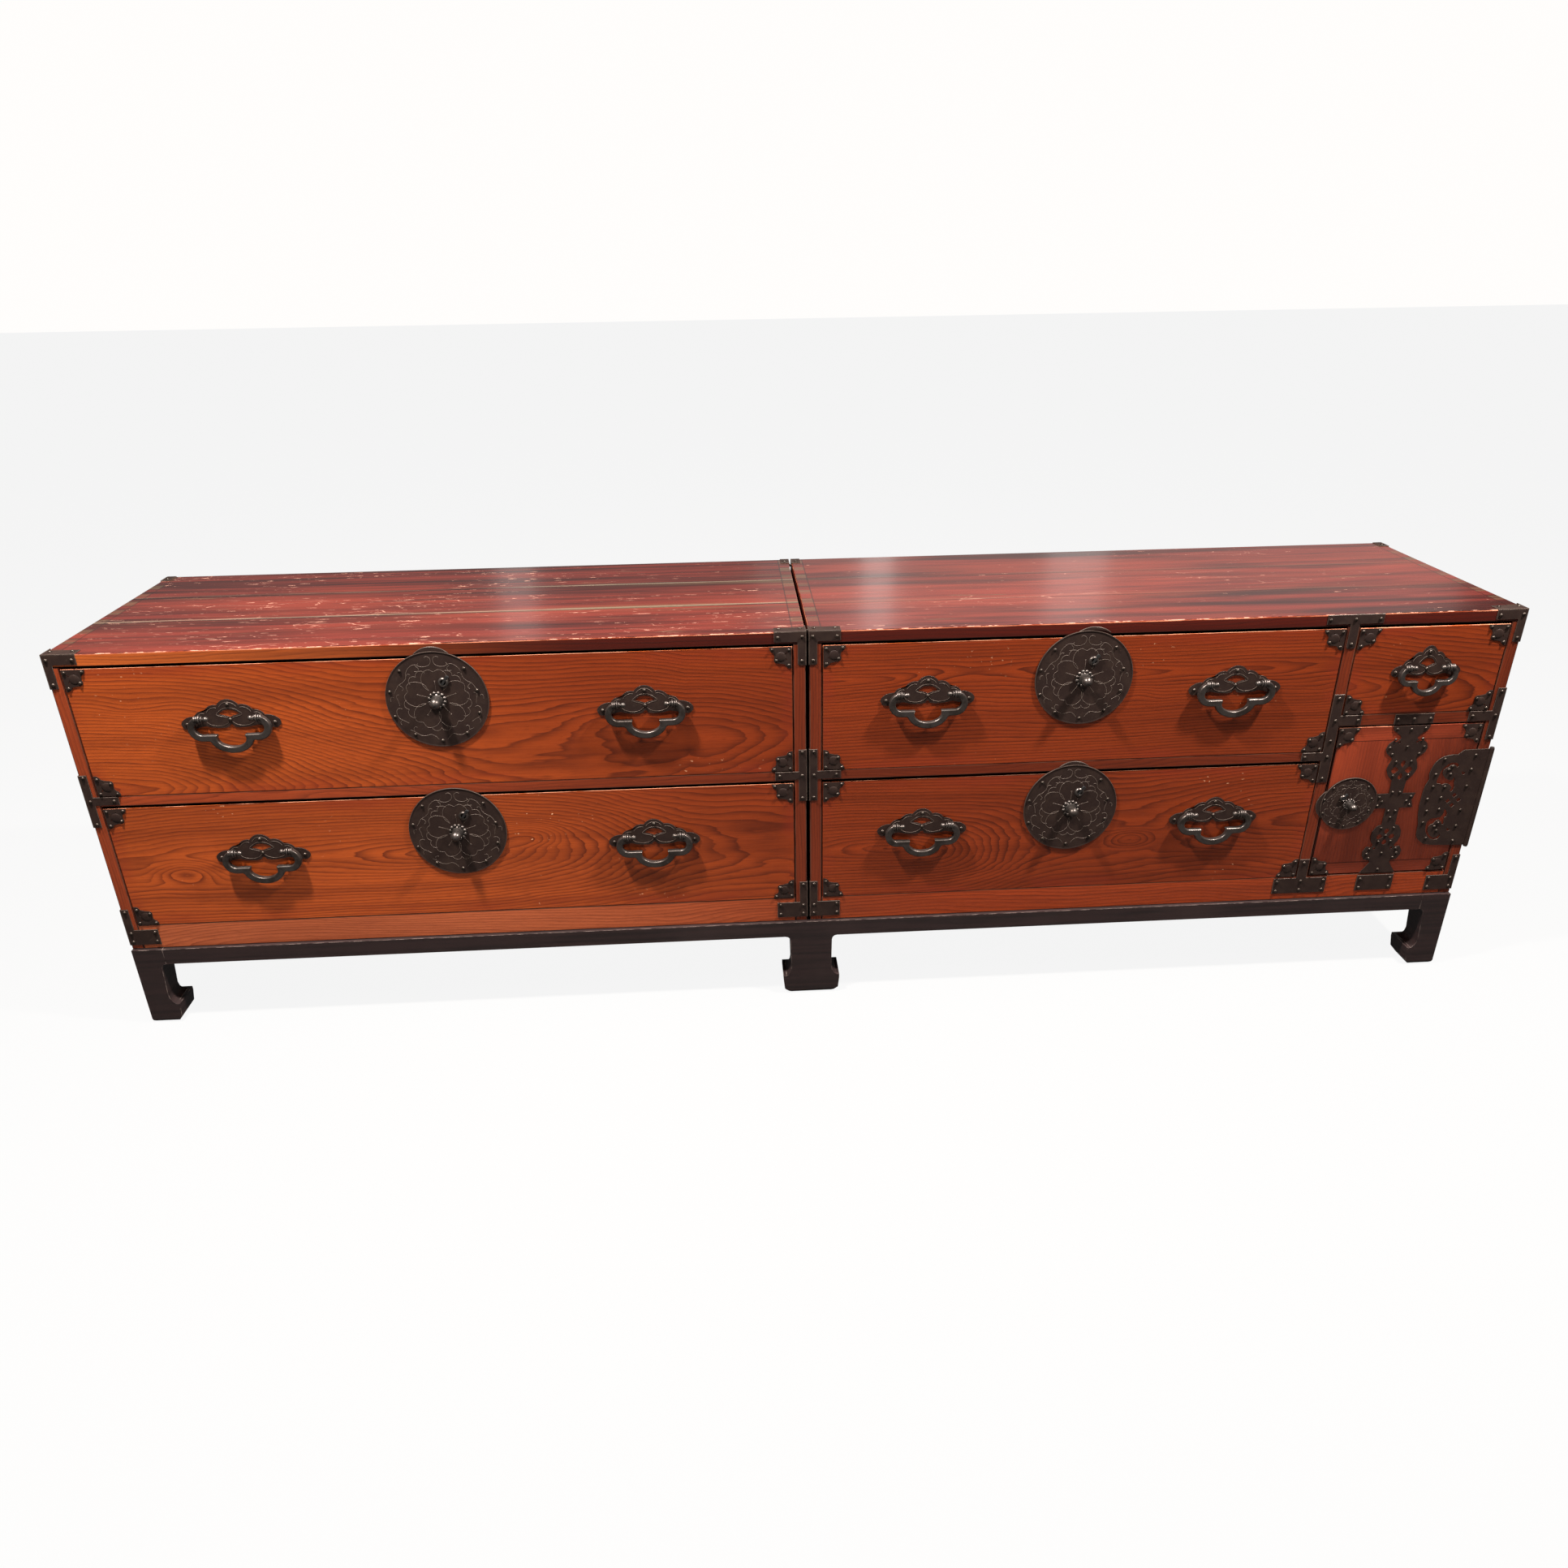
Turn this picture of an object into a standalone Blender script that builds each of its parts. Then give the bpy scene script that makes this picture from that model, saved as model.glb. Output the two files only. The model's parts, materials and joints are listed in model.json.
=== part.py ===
import bpy
import bmesh
from math import cos, radians, sin, sqrt
from mathutils import Matrix, Vector

# A low two-case tansu on one stand. Metres, +X right, +Y back, +Z up.
# Each case is built from its own left front bottom corner, and each drawer from its own.

# Cases, with their front openings up from the bottom and from left to right
case_depth = 0.450
case_gap = 0.006
board = 0.020
back_board = 0.010
fit_gap = 0.0003
base_rail_height = 0.047
base_rail_depth = 0.030
floor_board = 0.012
lower_opening_height = 0.227
divider_height = 0.0185
divider_depth = 0.040
shelf_board = 0.010
upper_opening_height = 0.2215
long_opening_width = 0.855
small_opening_height = 0.156
small_divider_height = 0.021

# Drawers
drawer_top_clear = 0.004
drawer_side_clear = 0.0015
drawer_back_clear = 0.015
drawer_front_board = 0.020
drawer_side_board = 0.012
drawer_bottom_board = 0.008
drawer_side_drop = 0.010

# Door and its hinge
door_clear = 0.002
door_board = 0.020
iron = 0.0012
hinge_radius = 0.004
hinge_pin_radius = 0.0018
hinge_bore_radius = 0.0021
hinge_head_radius = 0.0034
hinge_head_height = 0.002
hinge_reach = 0.104
hinge_drop = 0.050
hinge_rise = 0.052
hinge_side_leaf = 0.045
hinge_side_clear = 0.0005
strap_half = 0.0325
strap_lock_gap = 0.0006
strap_to_stile = 0.127525

# Round locks
lock_radius = 0.0805
lock_plate = 0.0016
lock_drop = 0.073
lower_lock_drop = 0.069
key_ring_out = 0.013
key_ring_up = 0.029
key_ring_radius = 0.0075
key_hole_radius = 0.004
key_ring_height = 0.004
knob_shaft_radius = 0.004
knob_bore_radius = 0.0046
knob_base_radius = 0.014
knob_base_height = 0.005
knob_ball_radius = 0.0086
knob_neck_radius = 0.0052
knob_reach = 0.0265
lever_width = 0.012
lever_thickness = 0.004
lever_clear = 0.0005
lever_catch = 0.006
pocket_clear = 0.003

# Door lock
door_lock_radius = 0.050
door_lock_left = 0.046
door_lock_drop = 0.146
door_ring_out = 0.0125
door_ring_up = 0.0185

# Handles: the plate behind, two eyes and a swinging bail
handle_half = 0.077
handle_plate = 0.0012
bail_drop = 0.090
bail_inset = 0.2375
bail_inset_narrow = 0.171
bail_stand_off = 0.0095
bail_rod_radius = 0.0055
bail_reach = 0.0592
bail_lobe_radius = 0.0167
bail_bowl_half = 0.0285
bail_bowl_depth = 0.021
eye_middle = 0.0442
eye_thickness = 0.005
eye_radius = 0.0064
eye_bore_radius = 0.0041
eye_stem_half = 0.004
small_bail_drop = 0.073
small_span_share = 0.76
small_rise_share = 0.84

# Stand
stand_height = 0.152
stand_lip = 0.006
rail_height = 0.030
rail_depth = 0.040
leg_shank = 0.043
leg_waist = 0.040
leg_fillet = 0.009
leg_toe = 0.0125
leg_heel = 0.008
centre_leg_half = 0.037
centre_waist_half = 0.036
centre_leg_offset = 0.004
centre_heel = 0.013
foot_top = 0.058
foot_curl = 0.021
toe_height = 0.030

weld_distance = 0.00001
cut_overrun = 0.002

# Thickness of the bail's inner end, bead, collar and neck as shares of the rod's
bail_end_share = 0.55
bail_bead_share = 0.95
bail_collar_share = 0.90
bail_neck_share = 0.58

# Handle plate lobes: centre across, centre up, radius, first angle, last angle, steps,
# the lengths as shares of the plate's half length
plate_lobe_shares = [
    (0.00, 0.17, 0.180, 90, 22, 2),
    (0.33, 0.08, 0.170, 125, 25, 3),
    (0.585, 0.00, 0.125, 125, 30, 3),
    (0.845, -0.155, 0.155, 125, -90, 5),
]
plate_edge_shares = [(0.70, -0.24), (0.52, -0.19), (0.31, -0.23), (0.13, -0.235), (0.05, -0.19)]
plate_notch_share = -0.135
plate_window_shares = [(0.0, -0.032), (0.08, 0.026), (0.215, 0.05), (0.12, 0.12), (0.0, 0.145)]

# Door strap, its right half from top to bottom: across as shares of its half width,
# down as shares of the door's height. Its cross bar reaches bar_share of the half width
bar_share = 0.95
strap_shares = [
    (1.00, 0.000), (0.92, 0.028), (0.52, 0.060), (0.42, 0.078), (0.62, 0.105), (0.80, 0.094),
    (1.02, 0.115), (1.12, 0.146), (1.04, 0.174), (0.83, 0.194), (0.64, 0.215), (0.77, 0.250),
    (0.83, 0.281), (0.74, 0.312), (0.61, 0.333), (0.40, 0.358), (0.37, 0.446), (bar_share, 0.448),
    (0.88, 0.495), (bar_share, 0.542), (0.37, 0.545), (0.37, 0.660), (0.61, 0.670), (0.80, 0.705),
    (0.83, 0.743), (0.74, 0.778), (0.58, 0.802), (0.65, 0.819), (0.92, 0.812), (1.09, 0.844),
    (1.07, 0.875), (0.92, 0.903), (0.58, 0.912), (0.55, 0.924), (0.74, 0.958), (1.00, 1.000),
]

# Hinge leaf on the door, from the barrel: across as shares of its reach, up of its half height
leaf_shares = [
    (0.0, 1.0), (0.47, 0.99), (0.56, 0.90), (0.72, 0.89), (0.85, 0.83), (0.93, 0.70),
    (0.965, 0.53), (0.94, 0.42), (0.985, 0.29), (1.0, 0.11), (1.0, -0.10), (0.98, -0.31),
    (0.935, -0.52), (0.925, -0.73), (0.86, -0.86), (0.76, -0.94), (0.52, -0.98), (0.0, -1.0),
]

knob_ball_steps = 5
foot_steps = 5
bowl_steps = 3
lower_top = base_rail_height + lower_opening_height
upper_low = lower_top + divider_height
upper_top = upper_low + upper_opening_height
case_height = upper_top + board
small_low = upper_top - small_opening_height
door_top = small_low - small_divider_height
partition_left = board + long_opening_width
partition_right = partition_left + board
door_lock_x = partition_right + door_lock_left
strap_x = door_lock_x + door_lock_radius + strap_lock_gap + strap_half * bar_share
inner_right = strap_x + strap_to_stile
case_width = inner_right + board
left_centre = case_width / 2
long_centre = (board + partition_left) / 2
door_lock_z = door_top - door_lock_drop
hinge_height = door_top - base_rail_height - hinge_drop - hinge_rise
drawer_depth = case_depth - back_board - drawer_back_clear
handle_face = fit_gap + handle_plate
lock_face = fit_gap + lock_plate
centre_x = case_gap / 2
side_reach = hinge_side_clear + hinge_radius * 2
overall_front = lock_face + fit_gap + knob_reach
frame_shift_x = -side_reach / 2
frame_shift_y = (overall_front - case_depth) / 2

for item in list(bpy.data.objects):
    bpy.data.objects.remove(item, do_unlink=True)

parts = bpy.data.collections.new("tansu")
bpy.context.scene.collection.children.link(parts)
cutters = bpy.data.collections.new("cutters")
bpy.context.scene.collection.children.link(cutters)


def make_material(name, color, roughness, metallic):
    material = bpy.data.materials.new(name)
    material.use_nodes = True
    shader = material.node_tree.nodes["Principled BSDF"]
    shader.inputs["Base Color"].default_value = (*color, 1)
    shader.inputs["Roughness"].default_value = roughness
    shader.inputs["Metallic"].default_value = metallic
    return material


def make_empty(name, holder, place):
    empty = bpy.data.objects.new(name, None)
    parts.objects.link(empty)
    empty.parent = holder
    empty.location = place
    return empty


def make_piece(name, shape, look, holder):
    mesh = bpy.data.meshes.new(name)
    shape.to_mesh(mesh)
    shape.free()
    color, roughness, metallic = look
    mesh.materials.append(make_material(name, color, roughness, metallic))
    piece = bpy.data.objects.new(name, mesh)
    piece.parent = holder
    parts.objects.link(piece)
    return piece


def add_box(shape, low, high):
    made = bmesh.ops.create_cube(shape, size=1)["verts"]
    size = [top - bottom for bottom, top in zip(low, high)]
    middle = [(top + bottom) / 2 for bottom, top in zip(low, high)]
    bmesh.ops.scale(shape, vec=size, verts=made)
    bmesh.ops.translate(shape, vec=middle, verts=made)
    return shape


def box(low, high):
    return add_box(bmesh.new(), low, high)


def cutter_object(shape):
    mesh = bpy.data.meshes.new("cutter")
    shape.to_mesh(mesh)
    shape.free()
    item = bpy.data.objects.new("cutter", mesh)
    item.hide_render = True
    item.display_type = "WIRE"
    cutters.objects.link(item)
    return item


def evaluated_shape(item):
    bpy.context.view_layer.update()
    graph = bpy.context.evaluated_depsgraph_get()
    mesh = bpy.data.meshes.new_from_object(item.evaluated_get(graph))
    shape = bmesh.new()
    shape.from_mesh(mesh)
    bpy.data.meshes.remove(mesh)
    bmesh.ops.remove_doubles(shape, verts=shape.verts, dist=weld_distance)
    return shape


def combine(shape, others, operation):
    base = cutter_object(shape)
    tools = [cutter_object(other) for other in others]
    for tool in tools:
        modifier = base.modifiers.new(operation.lower(), "BOOLEAN")
        modifier.operation = operation
        modifier.solver = "EXACT"
        modifier.object = tool
    result = evaluated_shape(base)
    for item in [base] + tools:
        bpy.data.objects.remove(item, do_unlink=True)
    return result


# An outline drawn across and up, filled and given its thickness
def slab(loops, thickness):
    curve = bpy.data.curves.new("outline", "CURVE")
    curve.dimensions = "2D"
    curve.fill_mode = "BOTH"
    curve.extrude = thickness / 2
    for loop in loops:
        spline = curve.splines.new("POLY")
        spline.points.add(len(loop) - 1)
        for point, (across, up) in zip(spline.points, loop):
            point.co = (across, up, 0, 1)
        spline.use_cyclic_u = True
    item = bpy.data.objects.new("outline", curve)
    cutters.objects.link(item)
    shape = evaluated_shape(item)
    bpy.data.objects.remove(item, do_unlink=True)
    bpy.data.curves.remove(curve)
    bmesh.ops.recalc_face_normals(shape, faces=shape.faces)
    return shape


# The outline's plane faces the front, and its thickness runs from near to far along Y
def front_slab(loops, near, far):
    shape = slab(loops, far - near)
    turn = Matrix.Translation((0, (near + far) / 2, 0)) @ Matrix.Rotation(radians(90), 4, "X")
    bmesh.ops.transform(shape, matrix=turn, verts=shape.verts)
    return shape


# The outline is drawn along Y and Z, and its thickness runs from left to right along X
def side_slab(loops, left, right):
    shape = slab(loops, right - left)
    turn = Matrix(((0, 0, 1, (left + right) / 2), (1, 0, 0, 0), (0, 1, 0, 0), (0, 0, 0, 1)))
    bmesh.ops.transform(shape, matrix=turn, verts=shape.verts)
    return shape


# A profile of radius and height, top to bottom, turned about the axis that points to the front
def turned(profile, steps, closed=False):
    mesh = bpy.data.meshes.new("profile")
    edges = [(index, index + 1) for index in range(len(profile) - 1)]
    if closed:
        edges.append((len(profile) - 1, 0))
    mesh.from_pydata([(radius, 0, height) for radius, height in profile], edges, [])
    item = bpy.data.objects.new("profile", mesh)
    cutters.objects.link(item)
    screw = item.modifiers.new("turn", "SCREW")
    screw.axis = "Z"
    screw.steps = steps
    screw.render_steps = steps
    screw.use_merge_vertices = True
    screw.merge_threshold = weld_distance
    screw.use_normal_calculate = True
    shape = evaluated_shape(item)
    bpy.data.objects.remove(item, do_unlink=True)
    bmesh.ops.recalc_face_normals(shape, faces=shape.faces)
    bmesh.ops.rotate(shape, matrix=Matrix.Rotation(radians(90), 3, "X"), verts=shape.verts)
    return shape


def rod_shape(radius, start, end, axis, steps):
    shape = bmesh.new()
    start = Vector(start)
    span = Vector(end) - start
    turn = Matrix.Rotation(radians(90), 4, "X") if axis == "Y" else Matrix.Identity(4)
    place = Matrix.Translation(start + span / 2) @ turn
    bmesh.ops.create_cone(shape, cap_ends=True, segments=steps, radius1=radius, radius2=radius,
                          depth=span.length, matrix=place)
    return shape


def arc(across, up, radius, first, last, steps):
    points = []
    for step in range(steps + 1):
        angle = radians(first + (last - first) * step / steps)
        points.append((across + radius * cos(angle), up + radius * sin(angle)))
    return points


keyaki = ((0.38, 0.075, 0.022), 0.35, 0.0)
case_wood = ((0.30, 0.055, 0.022), 0.38, 0.0)
top_wood = ((0.20, 0.022, 0.018), 0.28, 0.0)
door_wood = ((0.24, 0.045, 0.020), 0.38, 0.0)
inner_wood = ((0.48, 0.33, 0.18), 0.70, 0.0)
black_iron = ((0.035, 0.027, 0.022), 0.45, 0.8)
steel_iron = ((0.09, 0.08, 0.07), 0.35, 0.9)
stand_lacquer = ((0.022, 0.014, 0.012), 0.35, 0.0)

root = make_empty("tansu_frame", None, (frame_shift_x, frame_shift_y, 0))


# The inner edge of a leg, inwards from its outer face or its middle, from the rail's underside
# down to the sole: a fillet, a tapering shank, and a foot that curls out to its toe
def leg_edge(shank, waist, heel, rail):
    points = arc(shank + leg_fillet, stand_height - rail - leg_fillet, leg_fillet, 90, 180, 3)
    for step in range(foot_steps):
        angle = radians(100 * step / (foot_steps - 1))
        points.append((waist + leg_toe * (1 - cos(angle)), foot_top - foot_curl * sin(angle)))
    points += [(points[-1][0], toe_height), (waist + leg_toe, toe_height / 3)]
    return points + [(waist + leg_toe - heel, 0)]


# Both long frame and ends are a front outline crossed with the stand's side outline, whose rails
# are a hair lower, so that no two undersides lie in one plane
def crossed_outlines(front_loop):
    heel = arc(leg_heel, leg_heel, leg_heel, 270, 180, 3)
    leg = leg_edge(leg_shank, leg_waist, leg_heel, rail_height - fit_gap) + heel
    side = [(across - stand_lip, up) for across, up in reversed(leg)]
    side += [(case_depth - across, up) for across, up in leg]
    side += [(case_depth, stand_height), (-stand_lip, stand_height)]
    outer = centre_x + case_width + cut_overrun
    across = front_slab([front_loop], -stand_lip - cut_overrun, case_depth + cut_overrun)
    return combine(across, [side_slab([side], -outer, outer)], "INTERSECT")


def build_stand():
    outer_x = centre_x + case_width
    reach = leg_shank + leg_fillet
    heel = arc(leg_heel, leg_heel, leg_heel, 270, 180, 3)
    leg = leg_edge(leg_shank, leg_waist, leg_heel, rail_height) + heel
    loop = [(0, stand_height), (reach, stand_height)] + leg
    left_end = crossed_outlines([(across - outer_x, up) for across, up in loop])
    make_piece("stand_left_end", left_end, stand_lacquer, root)
    right_end = crossed_outlines([(outer_x - across, up) for across, up in loop])
    make_piece("stand_right_end", right_end, stand_lacquer, root)

    end_x = outer_x - reach - fit_gap
    middle, half = centre_leg_offset, centre_leg_half + leg_fillet
    leg = leg_edge(centre_leg_half, centre_waist_half, centre_heel, rail_height)
    loop = [(-end_x, stand_height), (-end_x, stand_height - rail_height)]
    loop += [(middle - across, up) for across, up in leg]
    loop += [(middle + across, up) for across, up in reversed(leg)]
    loop += [(end_x, stand_height - rail_height), (end_x, stand_height)]
    near, far = rail_depth - stand_lip, case_depth - rail_depth
    low, high = stand_height - rail_height - cut_overrun, stand_height + cut_overrun
    bays = [box((-end_x - cut_overrun, near, low), (middle - half, far, high)),
            box((middle + half, near, low), (end_x + cut_overrun, far, high))]
    frame = combine(crossed_outlines(loop), bays, "DIFFERENCE")
    make_piece("stand_long_frame", frame, stand_lacquer, root)


# The pocket that a drawer lock's lever swings up into
def lock_pocket(lock_x, lock_z, drop):
    reach = drop + lever_catch
    swing = sqrt(reach ** 2 - drop ** 2) + lever_width / 2 + pocket_clear
    near = drawer_front_board + lever_clear - pocket_clear
    far = near + lever_thickness + pocket_clear * 2
    return box((lock_x - swing, near, lock_z + drop - cut_overrun),
               (lock_x + lever_width / 2 + pocket_clear, far, lock_z + reach + pocket_clear))


# The pocket in the partition that the door lock's lever swings into
def door_pocket():
    reach = door_lock_left + lever_catch
    swing = sqrt(reach ** 2 - door_lock_left ** 2) + lever_width / 2 + pocket_clear
    near = door_board + lever_clear - pocket_clear
    far = near + lever_thickness + pocket_clear * 2
    return box((door_lock_x - reach - pocket_clear, near, door_lock_z - swing),
               (partition_right + cut_overrun, far, door_lock_z + lever_width / 2 + pocket_clear))


# A front rail with a board behind it that the drawer above slides on
def rail_and_board(left, right, low, high, rail_thick, board_thick, rear):
    rail = box((left, 0, low), (right, rail_thick, high))
    return combine(rail, [box((left, rail_thick / 2, high - board_thick), (right, rear, high))], "UNION")


def build_case(name, place, lock_x, rail_right):
    holder = make_empty(name + "_frame", root, place)
    inner_top = case_height - board - fit_gap
    left, right = board + fit_gap, inner_right - fit_gap
    rear = case_depth - back_board - fit_gap
    top = box((0, 0, case_height - board), (case_width, case_depth, case_height))
    top = combine(top, [lock_pocket(lock_x, upper_top - lock_drop, lock_drop)], "DIFFERENCE")
    make_piece(name + "_top", top, top_wood, holder)
    make_piece(name + "_left_side", box((0, 0, 0), (board, case_depth, inner_top)), case_wood, holder)
    make_piece(name + "_right_side", box((inner_right, 0, 0), (case_width, case_depth, inner_top)),
               case_wood, holder)
    bottom = rail_and_board(left, right, 0, base_rail_height, base_rail_depth, floor_board, rear)
    make_piece(name + "_bottom", bottom, case_wood, holder)
    make_piece(name + "_back", box((left, rear + fit_gap, 0), (right, case_depth, inner_top)),
               inner_wood, holder)
    rail = rail_and_board(left, rail_right - fit_gap, lower_top, upper_low, divider_depth, shelf_board, rear)
    pocket = lock_pocket(lock_x, lower_top - lower_lock_drop, lower_lock_drop)
    make_piece(name + "_divider", combine(rail, [pocket], "DIFFERENCE"), case_wood, holder)
    return holder


def build_partition(holder):
    rear = case_depth - back_board - fit_gap
    wall = box((partition_left, 0, base_rail_height + fit_gap),
               (partition_right, rear, case_height - board - fit_gap))
    make_piece("right_case_partition", combine(wall, [door_pocket()], "DIFFERENCE"), case_wood, holder)
    shelf = box((partition_right + fit_gap, 0, door_top), (inner_right - fit_gap, rear, small_low))
    make_piece("right_case_small_divider", shelf, case_wood, holder)


def handle_outline(half, rise):
    side = []
    for across, up, radius, first, last, steps in plate_lobe_shares:
        side += [(u * half, v * half * rise) for u, v in arc(across, up, radius, first, last, steps)]
    side += [(u * half, v * half * rise) for u, v in plate_edge_shares]
    notch = (0, plate_notch_share * half * rise)
    return side + [notch] + [(-u, v) for u, v in reversed(side[1:])]


def handle_window(half, rise):
    side = [(u * half, v * half * rise) for u, v in plate_window_shares]
    return side + [(-u, v) for u, v in reversed(side[1:-1])]


# An eye stands on the plate and holds the bail's end; its bore lies along X
def handle_eye(middle, span):
    root_y = -fit_gap - handle_plate / 2
    loop = [(root_y, -eye_stem_half)] + arc(-bail_stand_off, 0, eye_radius, -40, -320, 8)
    loop.append((root_y, eye_stem_half))
    hole = arc(-bail_stand_off, 0, eye_bore_radius, 22.5, 337.5, 7)
    half = eye_thickness * span / 2
    return side_slab([loop, hole], middle - half, middle + half)


def add_handle_plate(name, holder, place, span, rise):
    half = handle_half * span
    plate = front_slab([handle_outline(half, rise / span), handle_window(half, rise / span)],
                       -handle_face, -fit_gap)
    eyes = [handle_eye(side * eye_middle * span, span) for side in (-1, 1)]
    axis = make_empty(name + "_plate_place", holder, (place[0], 0, place[1]))
    make_piece(name + "_handle_plate", combine(plate, eyes, "UNION"), black_iron, axis)


# The bail hangs from its two inward-turned ends: end knob, neck in the eye, side lobe, bowl.
# Each place has its width and height, and its thickness as a share of the rod's
def bail_route(span, rise):
    neck = eye_thickness / 2 + fit_gap * 2
    inner = eye_middle - neck - fit_gap
    end = inner - bail_rod_radius
    route = [(end, 0, bail_end_share), ((inner + end) / 2, 0, bail_bead_share),
             (inner, 0, bail_collar_share), (inner + fit_gap, 0, bail_neck_share),
             (eye_middle + neck, 0, bail_neck_share)]
    lobe_x, lobe_low = bail_reach - bail_lobe_radius, -bail_lobe_radius * 2
    route += [(u, v, 1) for u, v in arc(lobe_x, -bail_lobe_radius, bail_lobe_radius, 50, -90, 4)]
    for step in range(bowl_steps + 1):
        angle = radians(-90 * step / bowl_steps)
        route.append((bail_bowl_half * cos(angle), lobe_low + bail_bowl_depth * sin(angle), 1))
    route += [(-u, v, size) for u, v, size in reversed(route[:-1])]
    return [(u * span, v * rise, size) for u, v, size in route]


def bail_shape(span, rise):
    curve = bpy.data.curves.new("bail", "CURVE")
    curve.dimensions = "3D"
    curve.bevel_depth = bail_rod_radius
    curve.bevel_resolution = 1
    curve.use_fill_caps = True
    route = bail_route(span, rise)
    spline = curve.splines.new("POLY")
    spline.points.add(len(route) - 1)
    for point, (across, up, size) in zip(spline.points, route):
        point.co = (across, 0, up, 1)
        point.radius = size
    item = bpy.data.objects.new("bail", curve)
    cutters.objects.link(item)
    shape = evaluated_shape(item)
    bpy.data.objects.remove(item, do_unlink=True)
    bpy.data.curves.remove(curve)
    bmesh.ops.recalc_face_normals(shape, faces=shape.faces)
    return shape


def add_bail(name, holder, place, span, rise):
    axis = make_empty(name + "_bail_axis", holder, (place[0], -bail_stand_off, place[1]))
    make_piece(name + "_bail", bail_shape(span, rise), steel_iron, axis)


def y_rod(radius, place, near, far, steps):
    return rod_shape(radius, (place[0], near, place[1]), (place[0], far, place[1]), "Y", steps)


# A round lock plate with a bore for the knob's shaft and a raised key ring
def lock_plate_shape(radius, ring, steps):
    plate = front_slab([arc(0, 0, radius, 0, 360 - 360 / steps, steps - 1)], -lock_face, -fit_gap)
    high = -lock_face - key_ring_height
    boss = y_rod(key_ring_radius, ring, high, -fit_gap - lock_plate / 2, 12)
    plate = combine(plate, [boss], "UNION")
    bores = [y_rod(knob_bore_radius, (0, 0), high, cut_overrun, 12),
             y_rod(key_hole_radius, ring, high - cut_overrun, cut_overrun, 8)]
    return combine(plate, bores, "DIFFERENCE")


# The knob turns in the plate: ball, neck, rosette, shaft through the board, and the lever
# behind it, which points along lever_angle (0 is right, 90 is up, seen from the front)
def knob_shape(board_thickness, reach, lever_angle):
    face = lock_face + fit_gap
    ball_middle = face + knob_reach - knob_ball_radius
    profile = []
    for step in range(knob_ball_steps + 1):
        angle = radians(90 - 140 * step / knob_ball_steps)
        across = knob_ball_radius * cos(angle) if step else 0
        profile.append((across, ball_middle + knob_ball_radius * sin(angle)))
    near = board_thickness + lever_clear
    far = near + lever_thickness
    profile += [(knob_neck_radius, face + knob_base_height),
                (knob_base_radius, face + knob_base_height / 2), (knob_base_radius, face),
                (knob_shaft_radius, face), (knob_shaft_radius, -near - lever_thickness / 2),
                (0, -near - lever_thickness / 2)]
    lever = box((-lever_width / 2, near, -lever_width / 2), (reach, far, lever_width / 2))
    turn = Matrix.Rotation(radians(-lever_angle), 3, "Y")
    bmesh.ops.rotate(lever, matrix=turn, verts=lever.verts)
    return combine(turned(profile, 12), [lever], "UNION")


def build_lock(name, holder, place, drop, radius, ring, lever_angle, board_thickness, steps):
    axis = make_empty(name + "_lock_axis", holder, (place[0], 0, place[1]))
    make_piece(name + "_lock_plate", lock_plate_shape(radius, ring, steps), black_iron, axis)
    knob = knob_shape(board_thickness, drop + lever_catch, lever_angle)
    make_piece(name + "_lock_knob", knob, steel_iron, axis)


def build_drawer(name, case, left, low, right, high, lock, inset, bail_low, span, rise):
    width = right - left - drawer_side_clear * 2
    offsets = [inset - width / 2, width / 2 - inset] if inset else [0]
    sides = ["_left", "_right"] if inset else [""]
    height = high - low - drawer_top_clear - fit_gap
    full = height + drawer_top_clear
    holder = make_empty(name + "_drawer_place", case, (left + drawer_side_clear, 0, low + fit_gap))
    front = box((0, 0, 0), (width, drawer_front_board, height))
    if lock:
        place = (width / 2, full - lock)
        bore = y_rod(knob_bore_radius, place, -cut_overrun, drawer_front_board + cut_overrun, 12)
        front = combine(front, [bore], "DIFFERENCE")
        build_lock(name, holder, place, lock, lock_radius, (key_ring_out, key_ring_up), 180,
                   drawer_front_board, 40)
    make_piece(name + "_drawer_front", front, keyaki, holder)
    near = drawer_front_board + fit_gap
    wall = drawer_side_board
    tray = box((0, near, 0), (width, drawer_depth, height - drawer_side_drop))
    hollow = box((wall, near - cut_overrun, drawer_bottom_board), (width - wall, drawer_depth - wall, height))
    make_piece(name + "_drawer_box", combine(tray, [hollow], "DIFFERENCE"), inner_wood, holder)
    for side, offset in zip(sides, offsets):
        place = (width / 2 + offset, full - bail_low)
        add_handle_plate(name + side, holder, place, span, rise)
        add_bail(name + side, holder, place, span, rise)


def build_drawers(left_case, right_case):
    rows = [("upper", upper_low, upper_top, lock_drop), ("lower", base_rail_height, lower_top, lower_lock_drop)]
    for row, low, high, lock in rows:
        build_drawer("left_" + row, left_case, board, low, inner_right, high, lock, bail_inset,
                     bail_drop, 1, 1)
        build_drawer("right_" + row, right_case, board, low, partition_left, high, lock,
                     bail_inset_narrow, bail_drop, 1, 1)
    build_drawer("small", right_case, partition_right, small_low, inner_right, upper_top, 0, 0,
                 small_bail_drop, small_span_share, small_rise_share)


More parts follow.
